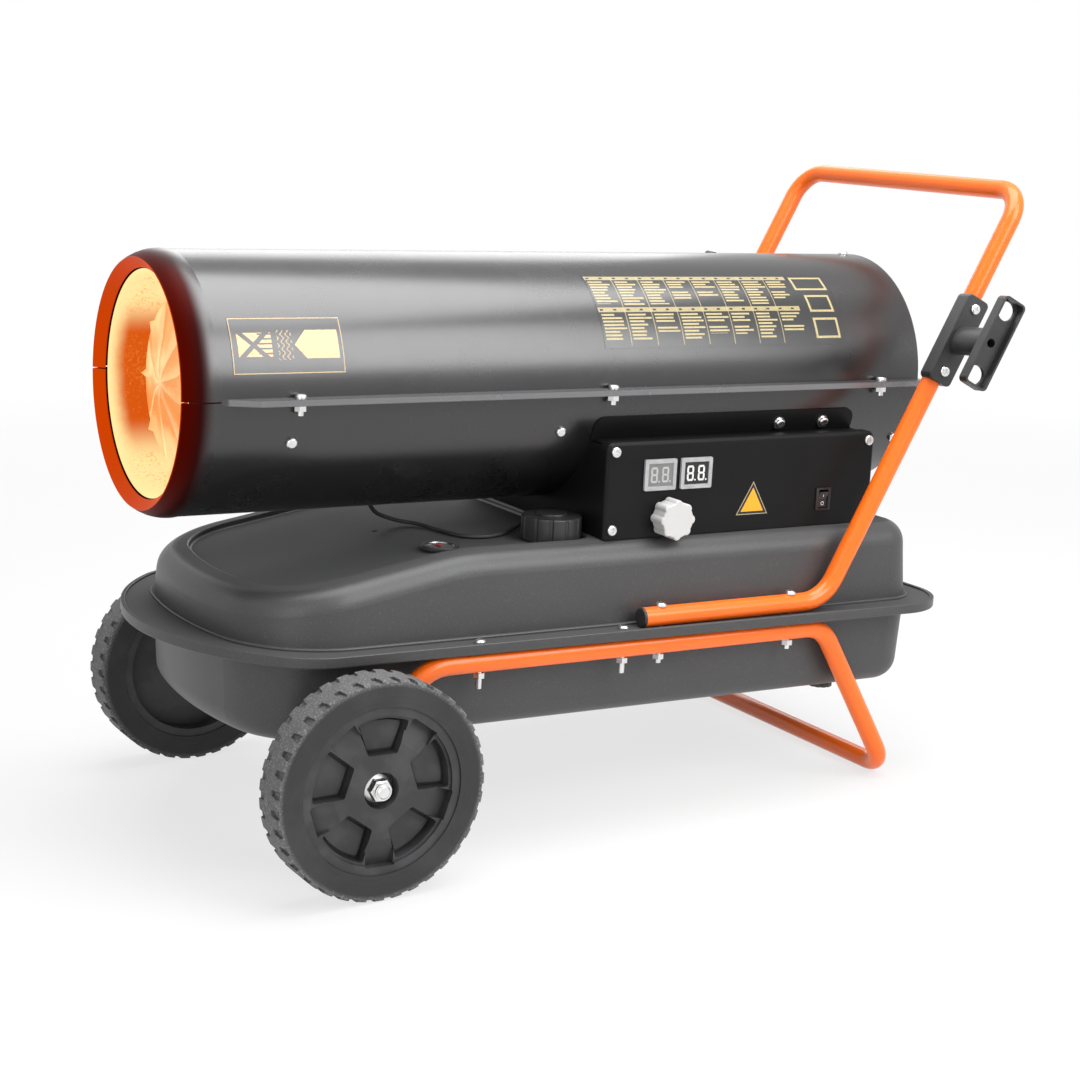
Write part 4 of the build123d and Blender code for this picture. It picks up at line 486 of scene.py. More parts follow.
def node_finishes(colours):
    """Every finish of the modelled parts, with the parts that have it."""
    return (
        (shell_paint(colours), ("upper_shell", "lower_shell")),
        (clouded(
            "box_powder_coat", colours.shell, shade(colours.shell, 1.9), 0.32, 0.12, (14.0, 4.0),
            (900.0, 2.0, 0.00004, 0.45), Specular_IOR_Level=0.12,
        ), ("base_box", "panel_cover")),
        (tank_plastic(colours), ("tank_base", "tank_top", "drain_plug")),
        (clouded(
            "cap_moulded_plastic", (0.012, 0.012, 0.013), (0.035, 0.035, 0.037), 0.34, 0.16, (40.0, 3.0),
            (1500.0, 2.0, 0.00005, 0.5),
        ), ("fuel_cap", "filler_neck", "cable_hooks", "cable_gland", "handle_end_plugs", "fuel_gauge")),
        (clouded(
            "orange_enamel", colours.tube, shade(colours.tube, 0.93, 0.84, 0.7), 0.26, 0.1, (16.0, 3.0),
            (260.0, 2.0, 0.00008, 0.4), 0.6, Specular_IOR_Level=0.4, Coat_Weight=0.2, Coat_Roughness=0.08,
        ), ("frame_tube", "handle_tube")),
        (tyre_rubber(colours), ("tyre_near", "tyre_far")),
        (wheel_plastic(colours), ("wheel_near", "wheel_far", "bush_near", "bush_far")),
        (clouded(
            "bright_zinc", (0.86, 0.86, 0.87), (0.6, 0.6, 0.58), 0.18, 0.2, (120.0, 3.0),
            (2600.0, 2.0, 0.00003, 0.4), Metallic=1.0,
        ), (
            "axle", "axle_spacers", "axle_nuts", "frame_bolts", "hex_nuts", "seam_bolts", "side_screws",
            "bracket_bolts", "sheet_screws", "hook_screws", "drive_shaft", "stand_offs", "thermostat_shaft",
        )),
        (hot_steel(), ("heat_liner", "combustion_chamber")),
        (hot_baffle(), ("front_baffle",)),
        (clouded(
            "black_wire", (0.014, 0.014, 0.015), (0.04, 0.04, 0.042), 0.28, 0.15, (80.0, 3.0),
            (80.0, 3.0, 0.0001, 0.3),
        ), ("rear_guard", "pressure_gauge")),
        (clouded(
            "cast_aluminium", (0.72, 0.72, 0.73), (0.45, 0.45, 0.46), 0.34, 0.26, (70.0, 5.0),
            (1200.0, 3.0, 0.0001, 0.5), Metallic=1.0,
        ), ("nozzle_adaptor", "fan", "pump_body", "pump_cover", "pump_rotor")),
        (clouded(
            "motor_enamel", (0.045, 0.047, 0.05), (0.09, 0.092, 0.095), 0.34, 0.18, (35.0, 4.0),
            (800.0, 2.0, 0.0001, 0.4),
        ), ("motor", "motor_bracket", "ignition_transformer")),
        (clouded(
            "turned_brass", (0.82, 0.6, 0.26), (0.5, 0.3, 0.1), 0.2, 0.2, (150.0, 4.0), Metallic=1.0,
        ), ("spray_nozzle",)),
        (clouded(
            "glazed_ceramic", (0.88, 0.87, 0.83), (0.7, 0.66, 0.58), 0.12, 0.1, (60.0, 3.0),
        ), ("electrode",)),
        (clouded(
            "white_moulded_knob", colours.knob, (0.66, 0.66, 0.65), 0.32, 0.14, (90.0, 3.0),
            (1500.0, 2.0, 0.00004, 0.4), 0.5,
        ), ("thermostat_knob",)),
        (clouded(
            "switch_black", (0.012, 0.012, 0.013), (0.03, 0.03, 0.032), 0.22, 0.14, (90.0, 3.0),
            (1800.0, 2.0, 0.00003, 0.4),
        ), ("switch_housing", "switch_rocker", "thermostat", "photocell")),
        (clouded(
            "display_frame", (0.5, 0.5, 0.5), (0.3, 0.3, 0.31), 0.22, 0.2, (160.0, 4.0),
            (700.0, 2.0, 0.00006, 0.4),
        ), ("displays",)),
        (circuit_laminate(), ("circuit_board",)),
        (clouded(
            "soft_rubber", (0.014, 0.014, 0.015), (0.04, 0.04, 0.042), 0.5, 0.2, (60.0, 4.0),
            (900.0, 2.0, 0.00008, 0.4),
        ), ("air_hose", "fuel_hose", "cap_gasket", "sensor_cable")),
        (steel_mesh(), ("fuel_strainer",)),
    )


# Prints, drawn in the plate's own measures, 0 to 1 each way

def print_ink(colours, name, ink_colour, mask_of):
    """Clear-lacquered black film on which the mask is printed."""
    finish = Finish(name, Specular_IOR_Level=0.85)
    u, v, _ = finish.parts(finish.node("ShaderNodeUVMap", {"uv_map": "plate"}))
    worn = finish.noise(500.0, 3.0).ramp(0.3, 0.45)
    ink = mask_of(finish, u, v) * (0.6 + worn * 0.4)
    finish.set("Base Color", finish.blend(ink, colours.plate, ink_colour))
    finish.set("Roughness", 0.22 + ink * 0.12 + finish.noise(50.0, 3.0) * 0.06)
    finish.bump(ink, 0.00003, 0.5)
    return finish.material


def frame_lines(u, v, box, line):
    """Outline of a box (u low, u high, v low, v high) with line widths along u and v."""
    left, right, foot, top = box
    across, up = line
    outer = inside(u, left, right) * inside(v, foot, top)
    return outer - inside(u, left + across, right - across) * inside(v, foot + up, top - up)


def table_print(finish, u, v):
    """Two rows of eight columns of short bars under header bars, and three blank frames at the end."""
    column = (u / COLUMN_WIDTH).wrapped(1.0)
    row = (v - TABLE_FOOT).wrapped(ROW_HEIGHT) / ROW_HEIGHT
    line = ((row - LINE_FOOT) / LINE_HEIGHT).wrapped(1.0)
    column_number = u / COLUMN_WIDTH - column
    row_number = (v > UPPER_ROW) * 7.0
    ragged = finish.scatter(column_number, (row - LINE_FOOT) / LINE_HEIGHT - line, row_number)
    block = finish.scatter(column_number, 3.0, row_number)
    bars = inside(line, 0.22, 0.74) * inside(column, 0.1, 0.56 + ragged * 0.4)
    body = bars * inside(row, 0.04 + block * 0.3, 0.82) * (1.0 - inside(row, 0.47, 0.56) * (block > 0.3))
    head = inside(row, 0.86, 0.99) * (1.0 - inside(row, 0.9, 0.95) * inside(column.wrapped(0.5), 0.1, 0.22))
    rules = (column < 0.03) * (row < 0.99)
    mask = (body + head * 0.8 + rules * 0.7) * inside(u, 0.004, 0.828) * inside(v, TABLE_FOOT, 0.975)
    for box in ((0.845, 0.985, 0.74, 0.96), (0.87, 0.975, 0.42, 0.66), (0.87, 0.975, 0.08, 0.34)):
        mask = mask + frame_lines(u, v, box, FRAME_LINE)
    return mask


def picture_print(finish, u, v):
    """Framed plate: crossed bars on a striped field, a column of waves and a block with a pointed end."""
    edge = frame_lines(u, v, (0.006, 0.994, 0.01, 0.99), (0.007, 0.016)) * 0.8
    field = inside(u, 0.06, 0.36)
    stripes = field * inside(v, 0.3, 0.72) * (1.0 - (v.wrapped(0.085) < 0.03) * (u > 0.24))
    level = v - 0.5
    slope = (u - 0.2) * 1.9
    cross = ((abs(level - slope) < 0.055) + (abs(level + slope) < 0.055)) * inside(v, 0.22, 0.78) * field
    ripple = finish.maths("SINE", v * 48.0) * 0.012
    waves = ((ripple + u).wrapped(0.045) < 0.012) * inside(u, 0.41, 0.54) * inside(v, 0.24, 0.76) * 0.55
    block = inside(u, 0.56 + abs(level) * 0.42, 0.955) * inside(v, 0.26, 0.76)
    return edge + stripes * (1.0 - (cross > 0.5)) + waves + block


# Modelling helpers

def take(piece):
    """Makes the piece the only one selected, in object mode."""
    if bpy.context.object and bpy.context.object.mode != "OBJECT":
        bpy.ops.object.mode_set(mode="OBJECT")
    bpy.ops.object.select_all(action="DESELECT")
    piece.select_set(True)
    bpy.context.view_layer.objects.active = piece


def pick(piece, kind, test):
    """Selects the faces (FACE) or points (VERT) of the piece that pass the test, in edit mode."""
    take(piece)
    bpy.ops.object.mode_set(mode="EDIT")
    bpy.ops.mesh.select_mode(type=kind)
    bpy.ops.mesh.select_all(action="DESELECT")
    mesh = bmesh.from_edit_mesh(piece.data)
    for part in mesh.faces if kind == "FACE" else mesh.verts:
        part.select_set(test(part))
    mesh.select_flush_mode()
    bmesh.update_edit_mesh(piece.data)


def leave():
    bpy.ops.object.mode_set(mode="OBJECT")


def started(name):
    """Names the primitive that was just added and applies its place, turn and size."""
    piece = bpy.context.object
    piece.name = name
    piece.data.name = name
    take(piece)
    bpy.ops.object.transform_apply(location=True, rotation=True, scale=True)
    return piece


def modified(piece, kind, **settings):
    """Adds a modifier and applies it."""
    take(piece)
    modifier = piece.modifiers.new(kind.lower(), kind)
    for name, value in settings.items():
        setattr(modifier, name, value)
    bpy.ops.object.modifier_apply(modifier=modifier.name)
    return piece


def bevelled(piece, width):
    return modified(piece, "BEVEL", width=width, segments=2)


def resized(piece, test, scale, centre=(0, 0, 0)):
    """Scales the points that pass the test about the centre."""
    pick(piece, "VERT", test)
    bpy.ops.transform.resize(value=scale, center_override=centre)
    leave()
    return piece


def copied(piece, name, *place, turn=Matrix()):
    """A copy with its own mesh, turned by the matrix and moved in chassis millimetres."""
    twin = piece.copy()
    twin.data = piece.data.copy()
    twin.name = name
    bpy.context.collection.objects.link(twin)
    twin.data.transform(Matrix.Translation(place) @ turn)
    return twin


def joined(pieces, name):
    take(pieces[0])
    for piece in pieces:
        piece.select_set(True)
    bpy.ops.object.join()
    return started(name)


def dropped(*patterns):
    """Removes patterns once their copies are made."""
    for pattern in patterns:
        bpy.data.objects.remove(pattern)


def smooth(piece, angle=30):
    take(piece)
    bpy.ops.object.shade_smooth_by_angle(angle=radians(angle))
    return piece


def about(centre, turn):
    """The turn about a centre."""
    return Matrix.Translation(centre) @ turn @ Matrix.Translation(-Vector(centre))


def fitted(piece, body, material):
    """Puts a piece modelled in chassis millimetres in its place, on its body and in its finish."""
    piece.data.transform(CHASSIS)
    piece.data.update()
    piece.data.materials.clear()
    piece.data.materials.append(material)
    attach(piece, body)


def finish_of(node):
    """The finish that a modelled part was given."""
    return frame["nodes"][node].data.materials[0]


# Settings

def colour(name, description, default):
    return bpy.props.FloatVectorProperty(
        name=name, description=description, default=default, subtype="COLOR", size=3, min=0.0, max=1.0
    )


def length(name, description, default):
    """A length, given here in millimetres and held in metres."""
    return bpy.props.FloatProperty(
        name=name, description=description, default=default * MM,
        subtype="DISTANCE", unit="LENGTH", precision=5,
    )


def angle(name, description, default):
    """An angle, given here in degrees and held in radians."""
    return bpy.props.FloatProperty(
        name=name, description=description, default=radians(default), subtype="ANGLE", unit="ROTATION"
    )


class HeaterColours(bpy.types.PropertyGroup):
    """Colours of the heater."""

    shell: colour("Barrel", "Powder coat of the barrel and control box", (0.006, 0.006, 0.0065))
    # The lip colour is firelight painted on the lip as a glow of its own
    lip: colour("Mouth lip", "Glow of the lip round the hot-air mouth", (0.6, 0.052, 0.0))
    tank: colour("Tank", "Moulded tank", (0.04, 0.04, 0.041))
    tube: colour("Tubes", "Enamel of frame and handle", (1.0, 0.165, 0.008))
    tyre: colour("Tyre", "Sidewall of the tyres", (0.022, 0.022, 0.023))
    # Tread colour: dust, lightened further as painted light on the tread's lit face
    tread: colour("Tread", "Dusty tread of the tyres", (0.13, 0.13, 0.13))
    wheel: colour("Wheel", "Moulded wheel", (0.024, 0.024, 0.025))
    knob: colour("Knob", "Thermostat knob", (0.56, 0.56, 0.55))
    plate: colour("Plates", "Ground of the printed plates", (0.008, 0.008, 0.009))
    ink: colour("Table print", "Print on the long plate", (0.42, 0.34, 0.15))
    pale_ink: colour("Picture print", "Print on the short plate", (0.72, 0.48, 0.22))
    amber: colour("Amber plate", "Triangular plate on the panel", (0.85, 0.4, 0.015))


class HeaterSizes(bpy.types.PropertyGroup):
    """Sizes and places of the trim along the chassis axes."""

    film: length("Plate film", "Thickness of a printed plate", 0.25)
    table_start: length("Table plate start", "Front end of the long plate on the barrel", 280.0)
    table_end: length("Table plate end", "Rear end of the long plate on the barrel", 570.0)
    table_low: angle("Table plate low edge", "Angle of its lower edge above the seam", 19.0)
    table_high: angle("Table plate high edge", "Angle of its upper edge above the seam", 59.0)
    picture_start: length("Picture plate start", "Front end of the short plate on the barrel", -97.0)
    picture_end: length("Picture plate end", "Rear end of the short plate on the barrel", 9.0)
    picture_low: angle("Picture plate low edge", "Angle of its lower edge above the seam", 11.0)
    picture_high: angle("Picture plate high edge", "Angle of its upper edge above the seam", 35.5)
    digit_height: length("Digit height", "Height of a display digit", 15.0)
    digit_stroke: length("Digit stroke", "Width of a digit's segments", 1.9)
    triangle_x: length("Amber plate place", "Middle of the triangular plate along the panel", 441.0)
    triangle_z: length("Amber plate height", "Middle of the triangular plate above the axle", 212.5)
    triangle_side: length("Amber plate side", "Side of the triangular plate", 38.0)
    weld: length("Weld bead", "Radius of a weld bead", 1.6)


class HEATER_OT_finishes(bpy.types.Operator):
    """Gives every modelled part its finish"""

    bl_idname = "heater.finishes"
    bl_label = "Finishes"

    def execute(self, context):
        for material, names in node_finishes(context.scene.heater_colours):
            for name in names:
                node = frame["nodes"][name]
                node.data.materials.clear()
                node.data.materials.append(material)
        return {"FINISHED"}


def barrel_plate(name, start, end, low, high, film):
    """Thin plate rolled to the barrel: one edge along the barrel, spun round its axis and thickened."""
    span = end - start
    arc = high - low
    bpy.ops.mesh.primitive_plane_add(size=1.0, location=(0.5, -0.5, 0))
    piece = started(name)
    pick(piece, "VERT", lambda part: part.co.y < -0.5)
    bpy.ops.mesh.delete(type="VERT")
    leave()
    piece.data.transform(Matrix.Translation((0, -BARREL_RADIUS - film, 0)) @ Matrix.Diagonal((span, 1, 1, 1)))
    piece.data.transform(Matrix.Translation((start, 0, BARREL_AXIS)) @ Matrix.Rotation(-low, 4, "X"))
    pick(piece, "VERT", lambda part: True)
    bpy.ops.mesh.spin(steps=round(arc / PLATE_ARC_STEP), angle=arc, center=(0, 0, BARREL_AXIS), axis=(1, 0, 0))
    leave()
    layer = piece.data.uv_layers.new(name="plate")
    for loop in piece.data.loops:
        place = piece.data.vertices[loop.vertex_index].co
        turned = atan2(place.z - BARREL_AXIS, -place.y)
        layer.data[loop.index].uv = ((place.x - start) / span, (turned - low) / arc)
    pick(piece, "VERT", lambda part: True)
    bpy.ops.mesh.remove_doubles(threshold=0.0005)
    bpy.ops.mesh.normals_make_consistent(inside=False)
    leave()
    return smooth(modified(piece, "SOLIDIFY", thickness=film * PLATE_WALL_SHARE, offset=-1.0))


class HEATER_OT_barrel_plates(bpy.types.Operator):
    """Two printed plates rolled to the near side of the barrel, with plain bars in place of words"""

    bl_idname = "heater.barrel_plates"
    bl_label = "Barrel plates"

    def execute(self, context):
        sizes = context.scene.heater_sizes
        colours = context.scene.heater_colours
        for name, start, end, low, high, ink, mask_of in (
            (
                "table", sizes.table_start, sizes.table_end, sizes.table_low, sizes.table_high,
                colours.ink, table_print,
            ),
            (
                "picture", sizes.picture_start, sizes.picture_end, sizes.picture_low, sizes.picture_high,
                colours.pale_ink, picture_print,
            ),
        ):
            plate = barrel_plate(name + "_plate", start / MM, end / MM, low, high, sizes.film / MM)
            fitted(plate, "chassis", print_ink(colours, name + "_print", ink, mask_of))
        return {"FINISHED"}


def face_block(name, x, z, width, height, low, high):
    """Block on the panel face: centred on x and z, from low to high in front of the face."""
    bpy.ops.mesh.primitive_cube_add(
        size=1.0, location=(x, PANEL_Y - (low + high) / 2, z), scale=(width, high - low, height)
    )
    return started(name)


def segment(name, length, stroke, low, high):
    """One display segment, lying at x and z 0: a bar whose two ends come to a point."""
    piece = face_block(name, 0, 0, length, stroke, low, high)
    pick(piece, "FACE", lambda part: abs(part.normal.x) > 0.9)
    bpy.ops.mesh.subdivide(number_cuts=1)
    leave()
    ends = length / 2 - stroke / 4
    return resized(
        piece, lambda part: abs(part.co.x) > ends and abs(part.co.z) > stroke * 0.4, (1 - stroke / length, 1, 1)
    )


def digit(name, z, height, stroke, low, high):
    """Seven segments of one digit round x 0 and z, and its point."""
    width = height * DIGIT_WIDTH_SHARE
    gap = stroke * DIGIT_GAP_SHARE
    half_span = (width - stroke) / 2
    rise = (height - stroke) / 2
    bar = segment("bar", width - 2 * gap, stroke, low, high)
    post = segment("post", height / 2 - 2 * gap, stroke, low, high)
    upright = Matrix.Rotation(pi / 2, 4, "Y")
    pieces = [copied(bar, name, 0, 0, z + level) for level in (-rise, 0, rise)]
    for x in (-half_span, half_span):
        for level in (-rise / 2, rise / 2):
            pieces.append(copied(post, name, x, 0, z + level, turn=about((0, PANEL_Y, 0), upright)))
    dropped(bar, post)
    bpy.ops.mesh.primitive_cylinder_add(
        vertices=12, radius=stroke / 2, depth=high - low,
        location=(width * DIGIT_POINT_SHARE, PANEL_Y - (low + high) / 2, z - rise), rotation=(pi / 2, 0, 0),
    )
    return joined([*pieces, bevelled(started(name), 0.08)], name)


class HEATER_OT_displays(bpy.types.Operator):
    """Display windows and their digits, the left one unlit and pale, the right one dark"""

    bl_idname = "heater.displays"
    bl_label = "Displays"

    def execute(self, context):
        sizes = context.scene.heater_sizes
        grounds = (
            plain("display_window_pale", (0.2, 0.2, 0.2), 0.25),
            plain("display_window_dark", (0.012, 0.012, 0.013), 0.16),
        )
        inks = (
            plain("digit_pale", (0.5, 0.5, 0.49), 0.4),
            plain(
                "digit_white", (0.72, 0.72, 0.71), 0.4, Emission_Color=(0.8, 0.8, 0.79), Emission_Strength=0.15
            ),
        )
        window = face_block("window", 0, DISPLAY_Z, WINDOW_WIDTH, WINDOW_HEIGHT, *WINDOW_LEVELS)
        bevelled(window, 0.1)
        figure = digit("digit", DISPLAY_Z, sizes.digit_height / MM, sizes.digit_stroke / MM, *DIGIT_LEVELS)
        for (side, x), ground, ink in zip(DISPLAYS, grounds, inks):
            fitted(copied(window, "window_" + side, x, 0, 0), "chassis", ground)
            pair = [copied(figure, "figure", x + step, 0, 0) for step in DIGIT_PLACES]
            fitted(joined(pair, "digits_" + side), "chassis", ink)
        dropped(window, figure)
        return {"FINISHED"}


class HEATER_OT_amber_plate(bpy.types.Operator):
    """Plain amber triangular plate with a dark border and a thin pale outline"""

    bl_idname = "heater.amber_plate"
    bl_label = "Amber plate"

    def execute(self, context):
        sizes = context.scene.heater_sizes
        amber = clouded(
            "amber_plate", context.scene.heater_colours.amber, (0.75, 0.4, 0.01), 0.3, 0.12, (200.0, 3.0),
            share=0.4,
        )
        for name, share, low, high, material in (
            ("triangle_outline", 1.0, 0.02, 0.16, plain("plate_outline", (0.5, 0.42, 0.26), 0.35)),
            ("triangle_border", 0.93, 0.12, 0.24, plain("plate_border", (0.008, 0.008, 0.009), 0.3)),
            ("triangle_face", 0.72, 0.22, 0.32, amber),
        ):
            bpy.ops.mesh.primitive_cylinder_add(
                vertices=3, radius=sizes.triangle_side / MM / sqrt(3) * share, depth=high - low,
                location=(sizes.triangle_x / MM, PANEL_Y - (low + high) / 2, sizes.triangle_z / MM),
                rotation=(pi / 2, 0, 0),
            )
            fitted(bevelled(started(name), 0.06), "chassis", material)
        return {"FINISHED"}


class HEATER_OT_switch_marks(bpy.types.Operator):
    """On and off marks on the rocker: a bar on the upper half and a ring on the lower half"""

    bl_idname = "heater.switch_marks"
    bl_label = "Switch marks"

    def execute(self, context):
        level = PANEL_Y - RING_LEVEL
        bpy.ops.mesh.primitive_torus_add(
            location=(SWITCH_X, level, SWITCH_Z - MARK_STEP), rotation=(pi / 2 - 0.2, 0, 0),
            major_segments=32, minor_segments=8, major_radius=1.7, minor_radius=0.28,
        )
        ring = resized(started("switch_ring"), lambda part: part.co.y > level, (1, 0.4, 1), (0, level, 0))
        bar = bevelled(face_block("switch_bar", SWITCH_X, SWITCH_Z + MARK_STEP, 0.55, 3.6, *MARK_LEVELS), 0.12)
        white = plain("switch_mark", (0.8, 0.8, 0.8), 0.4)
        lean = about((SWITCH_X, PANEL_Y + SWITCH_AXIS_DEPTH, SWITCH_Z), Matrix.Rotation(SWITCH_LEAN, 4, "X"))
        for piece in (ring, bar):
            piece.data.transform(lean)
            fitted(piece, "rocker", white)
        return {"FINISHED"}


class HEATER_OT_gauge_face(bpy.types.Operator):
    """Dark dial, ticks, needle and bright ring of the tank gauge"""

    bl_idname = "heater.gauge_face"
    bl_label = "Tank gauge"

    def execute(self, context):
        low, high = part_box("fuel_gauge")
        level = (CHASSIS.inverted() @ Vector((low.x, low.y, high.z))).z - GLASS_DEPTH
        self.dial(level)
        self.ring(level + 0.3)
        self.ticks(level + 0.26)
        self.needle(level + 0.5)
        return {"FINISHED"}

    def dial(self, level):
        bpy.ops.mesh.primitive_cylinder_add(
            vertices=48, radius=DIAL_RADIUS, depth=0.2, location=(GAUGE_X, GAUGE_Y, level + 0.12)
        )
        dial = bevelled(started("gauge_dial"), 0.05)
        fitted(dial, "chassis", plain("gauge_dial_face", (0.02, 0.02, 0.021), 0.2))

    def ring(self, level):
        bpy.ops.mesh.primitive_torus_add(
            location=(GAUGE_X, GAUGE_Y, level), major_segments=64, minor_segments=10,
            major_radius=GAUGE_RING_RADIUS, minor_radius=0.55,
        )
        ring = resized(started("gauge_ring"), lambda part: part.co.z < level, (1, 1, 0.3), (0, 0, level))
        fitted(smooth(ring, 60), "chassis", finish_of("axle"))

    def ticks(self, level):
        """A fan of ticks, the first, the last and the middle one longer."""
        bpy.ops.mesh.primitive_cube_add(size=1.0, location=(0, 0, 0), scale=TICK_SIZE)
        pattern = bevelled(started("tick"), 0.04)
        reach = Matrix.Translation((0, TICK_REACH, 0))
        ticks = []
        for index in range(TICKS):
            turn = Matrix.Rotation(FIRST_TICK + index * TICK_ANGLE, 4, "Z")
            longer = Matrix.Scale(1.0 if index % 4 else LONG_TICK, 4, (0, 1, 0))
            ticks.append(copied(pattern, "gauge_tick", GAUGE_X, GAUGE_Y, level, turn=turn @ reach @ longer))
        dropped(pattern)
        ink = plain("gauge_tick_ink", (0.6, 0.6, 0.59), 0.4)
        fitted(joined(ticks, "gauge_ticks"), "chassis", ink)

    def needle(self, level):
        """Tapered blade, flat on its back, on a round boss."""
        bpy.ops.mesh.primitive_cone_add(
            vertices=12, radius1=0.9, radius2=0.15, depth=NEEDLE_LENGTH, location=(0, 0, 0)
        )
        blade = resized(started("blade"), lambda part: part.co.y > 0, (1, 0.3, 1))
        blade.data.transform(Matrix.Translation((0, NEEDLE_STEP, 0)) @ Matrix.Rotation(-pi / 2, 4, "X"))
        middle = (GAUGE_X, GAUGE_Y, level)
        blade.data.transform(Matrix.Translation(middle) @ Matrix.Rotation(NEEDLE_ANGLE, 4, "Z"))
        bpy.ops.mesh.primitive_cylinder_add(vertices=24, radius=BOSS_RADIUS, depth=0.7, location=middle)
        boss = bevelled(started("boss"), 0.2)
        red = plain("gauge_needle_red", (0.6, 0.03, 0.02), 0.4)
        fitted(joined([blade, boss], "gauge_needle"), "chassis", red)


class HEATER_OT_weld_beads(bpy.types.Operator):
    """Weld beads where the frame tube meets its axle sleeves"""

    bl_idname = "heater.weld_beads"
    bl_label = "Weld beads"

    def execute(self, context):
        bpy.ops.mesh.primitive_torus_add(
            location=(0, 0, 0), major_segments=48, minor_segments=10,
            major_radius=BEAD_RADIUS, minor_radius=context.scene.heater_sizes.weld / MM,
        )
        pattern = started("weld_bead")
        for vertex in pattern.data.vertices:
            ripple = 1.0 + BEAD_RIPPLE_SHARE * sin(atan2(vertex.co.y, vertex.co.x) * BEAD_RIPPLES)
            vertex.co.x *= ripple
            vertex.co.y *= ripple
        smooth(pattern, 60)
        x = SLEEVE_REACH * sin(FRAME_LEG_SLOPE)
        z = SLEEVE_REACH * cos(FRAME_LEG_SLOPE)
        lean = Matrix.Rotation(FRAME_LEG_SLOPE, 4, "Y")
        beads = [copied(pattern, "bead", x, side * TUBE_HALF_TRACK, z, turn=lean) for side in (-1, 1)]
        dropped(pattern)
        fitted(joined(beads, "weld_beads"), "chassis", finish_of("frame_tube"))
        return {"FINISHED"}


class HEATER_OT_sensor_cable(bpy.types.Operator):
    """Limp sensor lead that hangs out of the barrel, lies on the tank and goes into the control box"""

    bl_idname = "heater.sensor_cable"
    bl_label = "Sensor cable"

    def execute(self, context):
        line = bpy.data.curves.new("sensor_lead", "CURVE")
        line.dimensions = "3D"
        line.resolution_u = 24
        line.bevel_depth = CABLE_RADIUS
        line.bevel_resolution = 6
        line.use_fill_caps = True
        spline = line.splines.new("NURBS")
        spline.points.add(len(CABLE_ROUTE) - 1)
        for point, place in zip(spline.points, CABLE_ROUTE):
            point.co = (*(CHASSIS @ Vector(place)), 1.0)
        spline.order_u = 3
        spline.use_endpoint_u = True
        lead = bpy.data.objects.new("sensor_lead", line)
        context.scene.collection.objects.link(lead)
        line.materials.append(finish_of("sensor_cable"))
        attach(lead, "chassis")
        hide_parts("sensor_cable")
        return {"FINISHED"}


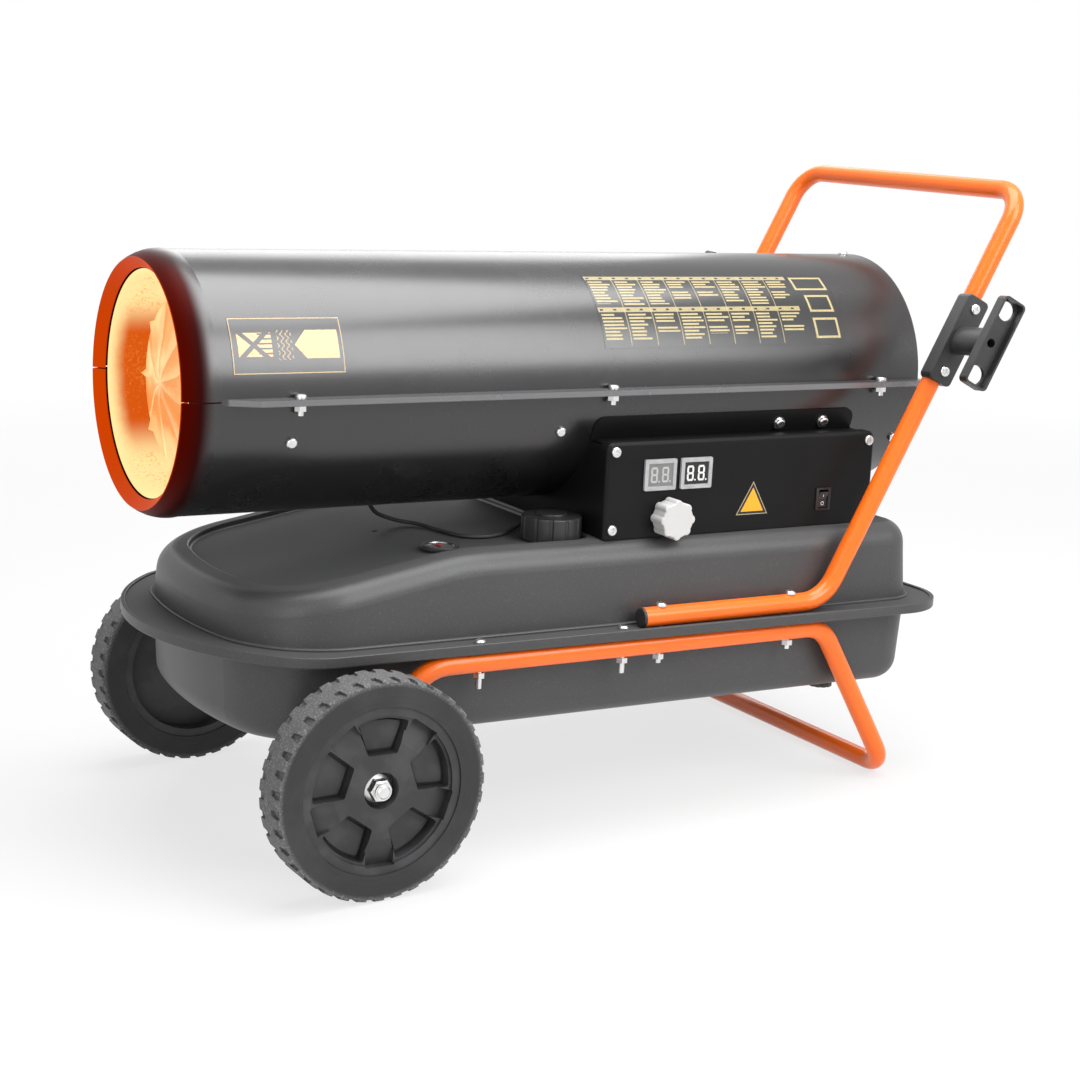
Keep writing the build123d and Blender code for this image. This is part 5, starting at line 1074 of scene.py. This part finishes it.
class HEATER_OT_stage(bpy.types.Operator):
    """Pale floor, soft studio light and the camera"""

    bl_idname = "heater.stage"
    bl_label = "Stage"

    def execute(self, context):
        scene = context.scene
        scene.view_settings.view_transform = "Standard"
        self.floor()
        self.world(scene)
        for lamp in LAMPS:
            self.lamp(scene, *lamp)
        self.camera(scene)
        return {"FINISHED"}

    def floor(self):
        """White to the camera, a little grey under the object, and matt grey to its light."""
        bpy.ops.mesh.primitive_circle_add(
            vertices=96, radius=FLOOR_RADIUS, fill_type="NGON", location=(0, 0, -FLOOR_DROP)
        )
        floor = started("studio_floor")
        material = bpy.data.materials.new("studio_floor")
        nodes = Nodes(material, "ShaderNodeOutputMaterial")
        near, far = GREY_REACH
        ramp = {0: nodes.length(nodes.place()), 1: near, 2: far, 3: GREY_SHARE, 4: 1.0}
        away = nodes.node("ShaderNodeMapRange", None, ramp)
        matt = nodes.node("ShaderNodeBsdfDiffuse", None, {"Color": (0.8, 0.8, 0.8)})
        white = nodes.node("ShaderNodeEmission")
        nodes.show(nodes.node("ShaderNodeMixShader", None, {0: away * nodes.seen_rays(), 1: matt, 2: white}))
        floor.data.materials.append(material)

    def world(self, scene):
        """White where it is seen, dim where it lights."""
        scene.world = bpy.data.worlds.new("studio")
        nodes = Nodes(scene.world, "ShaderNodeOutputWorld")
        light, seen = (
            nodes.node("ShaderNodeBackground", None, {"Color": (1.0, 1.0, 1.0), "Strength": strength})
            for strength in (WORLD_LIGHT, 1.0)
        )
        nodes.show(nodes.node("ShaderNodeMixShader", None, {0: nodes.seen_rays(), 1: light, 2: seen}))

    def lamp(self, scene, name, place, aim, width, height, power):
        lamp = bpy.data.lights.new(name, "AREA")
        lamp.shape = "RECTANGLE"
        lamp.size = width
        lamp.size_y = height
        lamp.energy = power
        holder = bpy.data.objects.new(name, lamp)
        scene.collection.objects.link(holder)
        holder.location = place
        holder.rotation_euler = (Vector(aim) - Vector(place)).to_track_quat("-Z", "Y").to_euler()

    def camera(self, scene):
        yaw, pitch, roll = CAMERA_YAW, CAMERA_PITCH, CAMERA_ROLL
        ahead = Vector((sin(yaw) * cos(pitch), cos(yaw) * cos(pitch), -sin(pitch)))
        right = Vector((cos(yaw), -sin(yaw), 0.0))
        up = right.cross(ahead)
        across = right * cos(roll) + up * sin(roll)
        upward = up * cos(roll) - right * sin(roll)
        turn = Matrix.Rotation(TILT, 3, "Y") @ Matrix((across, upward, -ahead)).transposed()
        lens = bpy.data.cameras.new("photo_camera")
        lens.lens = FOCAL_LENGTH_PIXELS / PHOTO_PIXELS * SENSOR_WIDTH
        lens.sensor_width = SENSOR_WIDTH
        lens.clip_start = NEAREST_SEEN
        holder = bpy.data.objects.new("photo_camera", lens)
        scene.collection.objects.link(holder)
        holder.matrix_world = Matrix.Translation(CHASSIS @ Vector(CAMERA_PLACE)) @ turn.to_4x4()
        scene.camera = holder


class HEATER_PT_panel(bpy.types.Panel):
    """Heater tools in the sidebar"""

    bl_label = "Air heater"
    bl_idname = "HEATER_PT_panel"
    bl_space_type = "VIEW_3D"
    bl_region_type = "UI"
    bl_category = "Heater"

    def draw(self, context):
        for group in (context.scene.heater_sizes, context.scene.heater_colours):
            for name in group.__annotations__:
                self.layout.prop(group, name)
        for operator in OPERATORS:
            self.layout.operator(operator.bl_idname)


OPERATORS = (
    HEATER_OT_finishes,
    HEATER_OT_barrel_plates,
    HEATER_OT_displays,
    HEATER_OT_amber_plate,
    HEATER_OT_switch_marks,
    HEATER_OT_gauge_face,
    HEATER_OT_weld_beads,
    HEATER_OT_sensor_cable,
    HEATER_OT_stage,
)
CLASSES = (HeaterColours, HeaterSizes, *OPERATORS, HEATER_PT_panel)


def register():
    for item in CLASSES:
        bpy.utils.register_class(item)
    bpy.types.Scene.heater_colours = bpy.props.PointerProperty(type=HeaterColours)
    bpy.types.Scene.heater_sizes = bpy.props.PointerProperty(type=HeaterSizes)


def unregister():
    del bpy.types.Scene.heater_sizes
    del bpy.types.Scene.heater_colours
    for item in reversed(CLASSES):
        bpy.utils.unregister_class(item)


def main():
    register()
    bpy.ops.heater.finishes()
    bpy.ops.heater.barrel_plates()
    bpy.ops.heater.displays()
    bpy.ops.heater.amber_plate()
    bpy.ops.heater.switch_marks()
    bpy.ops.heater.gauge_face()
    bpy.ops.heater.weld_beads()
    bpy.ops.heater.sensor_cable()
    bpy.ops.heater.stage()


if __name__ == "__main__":
    main()
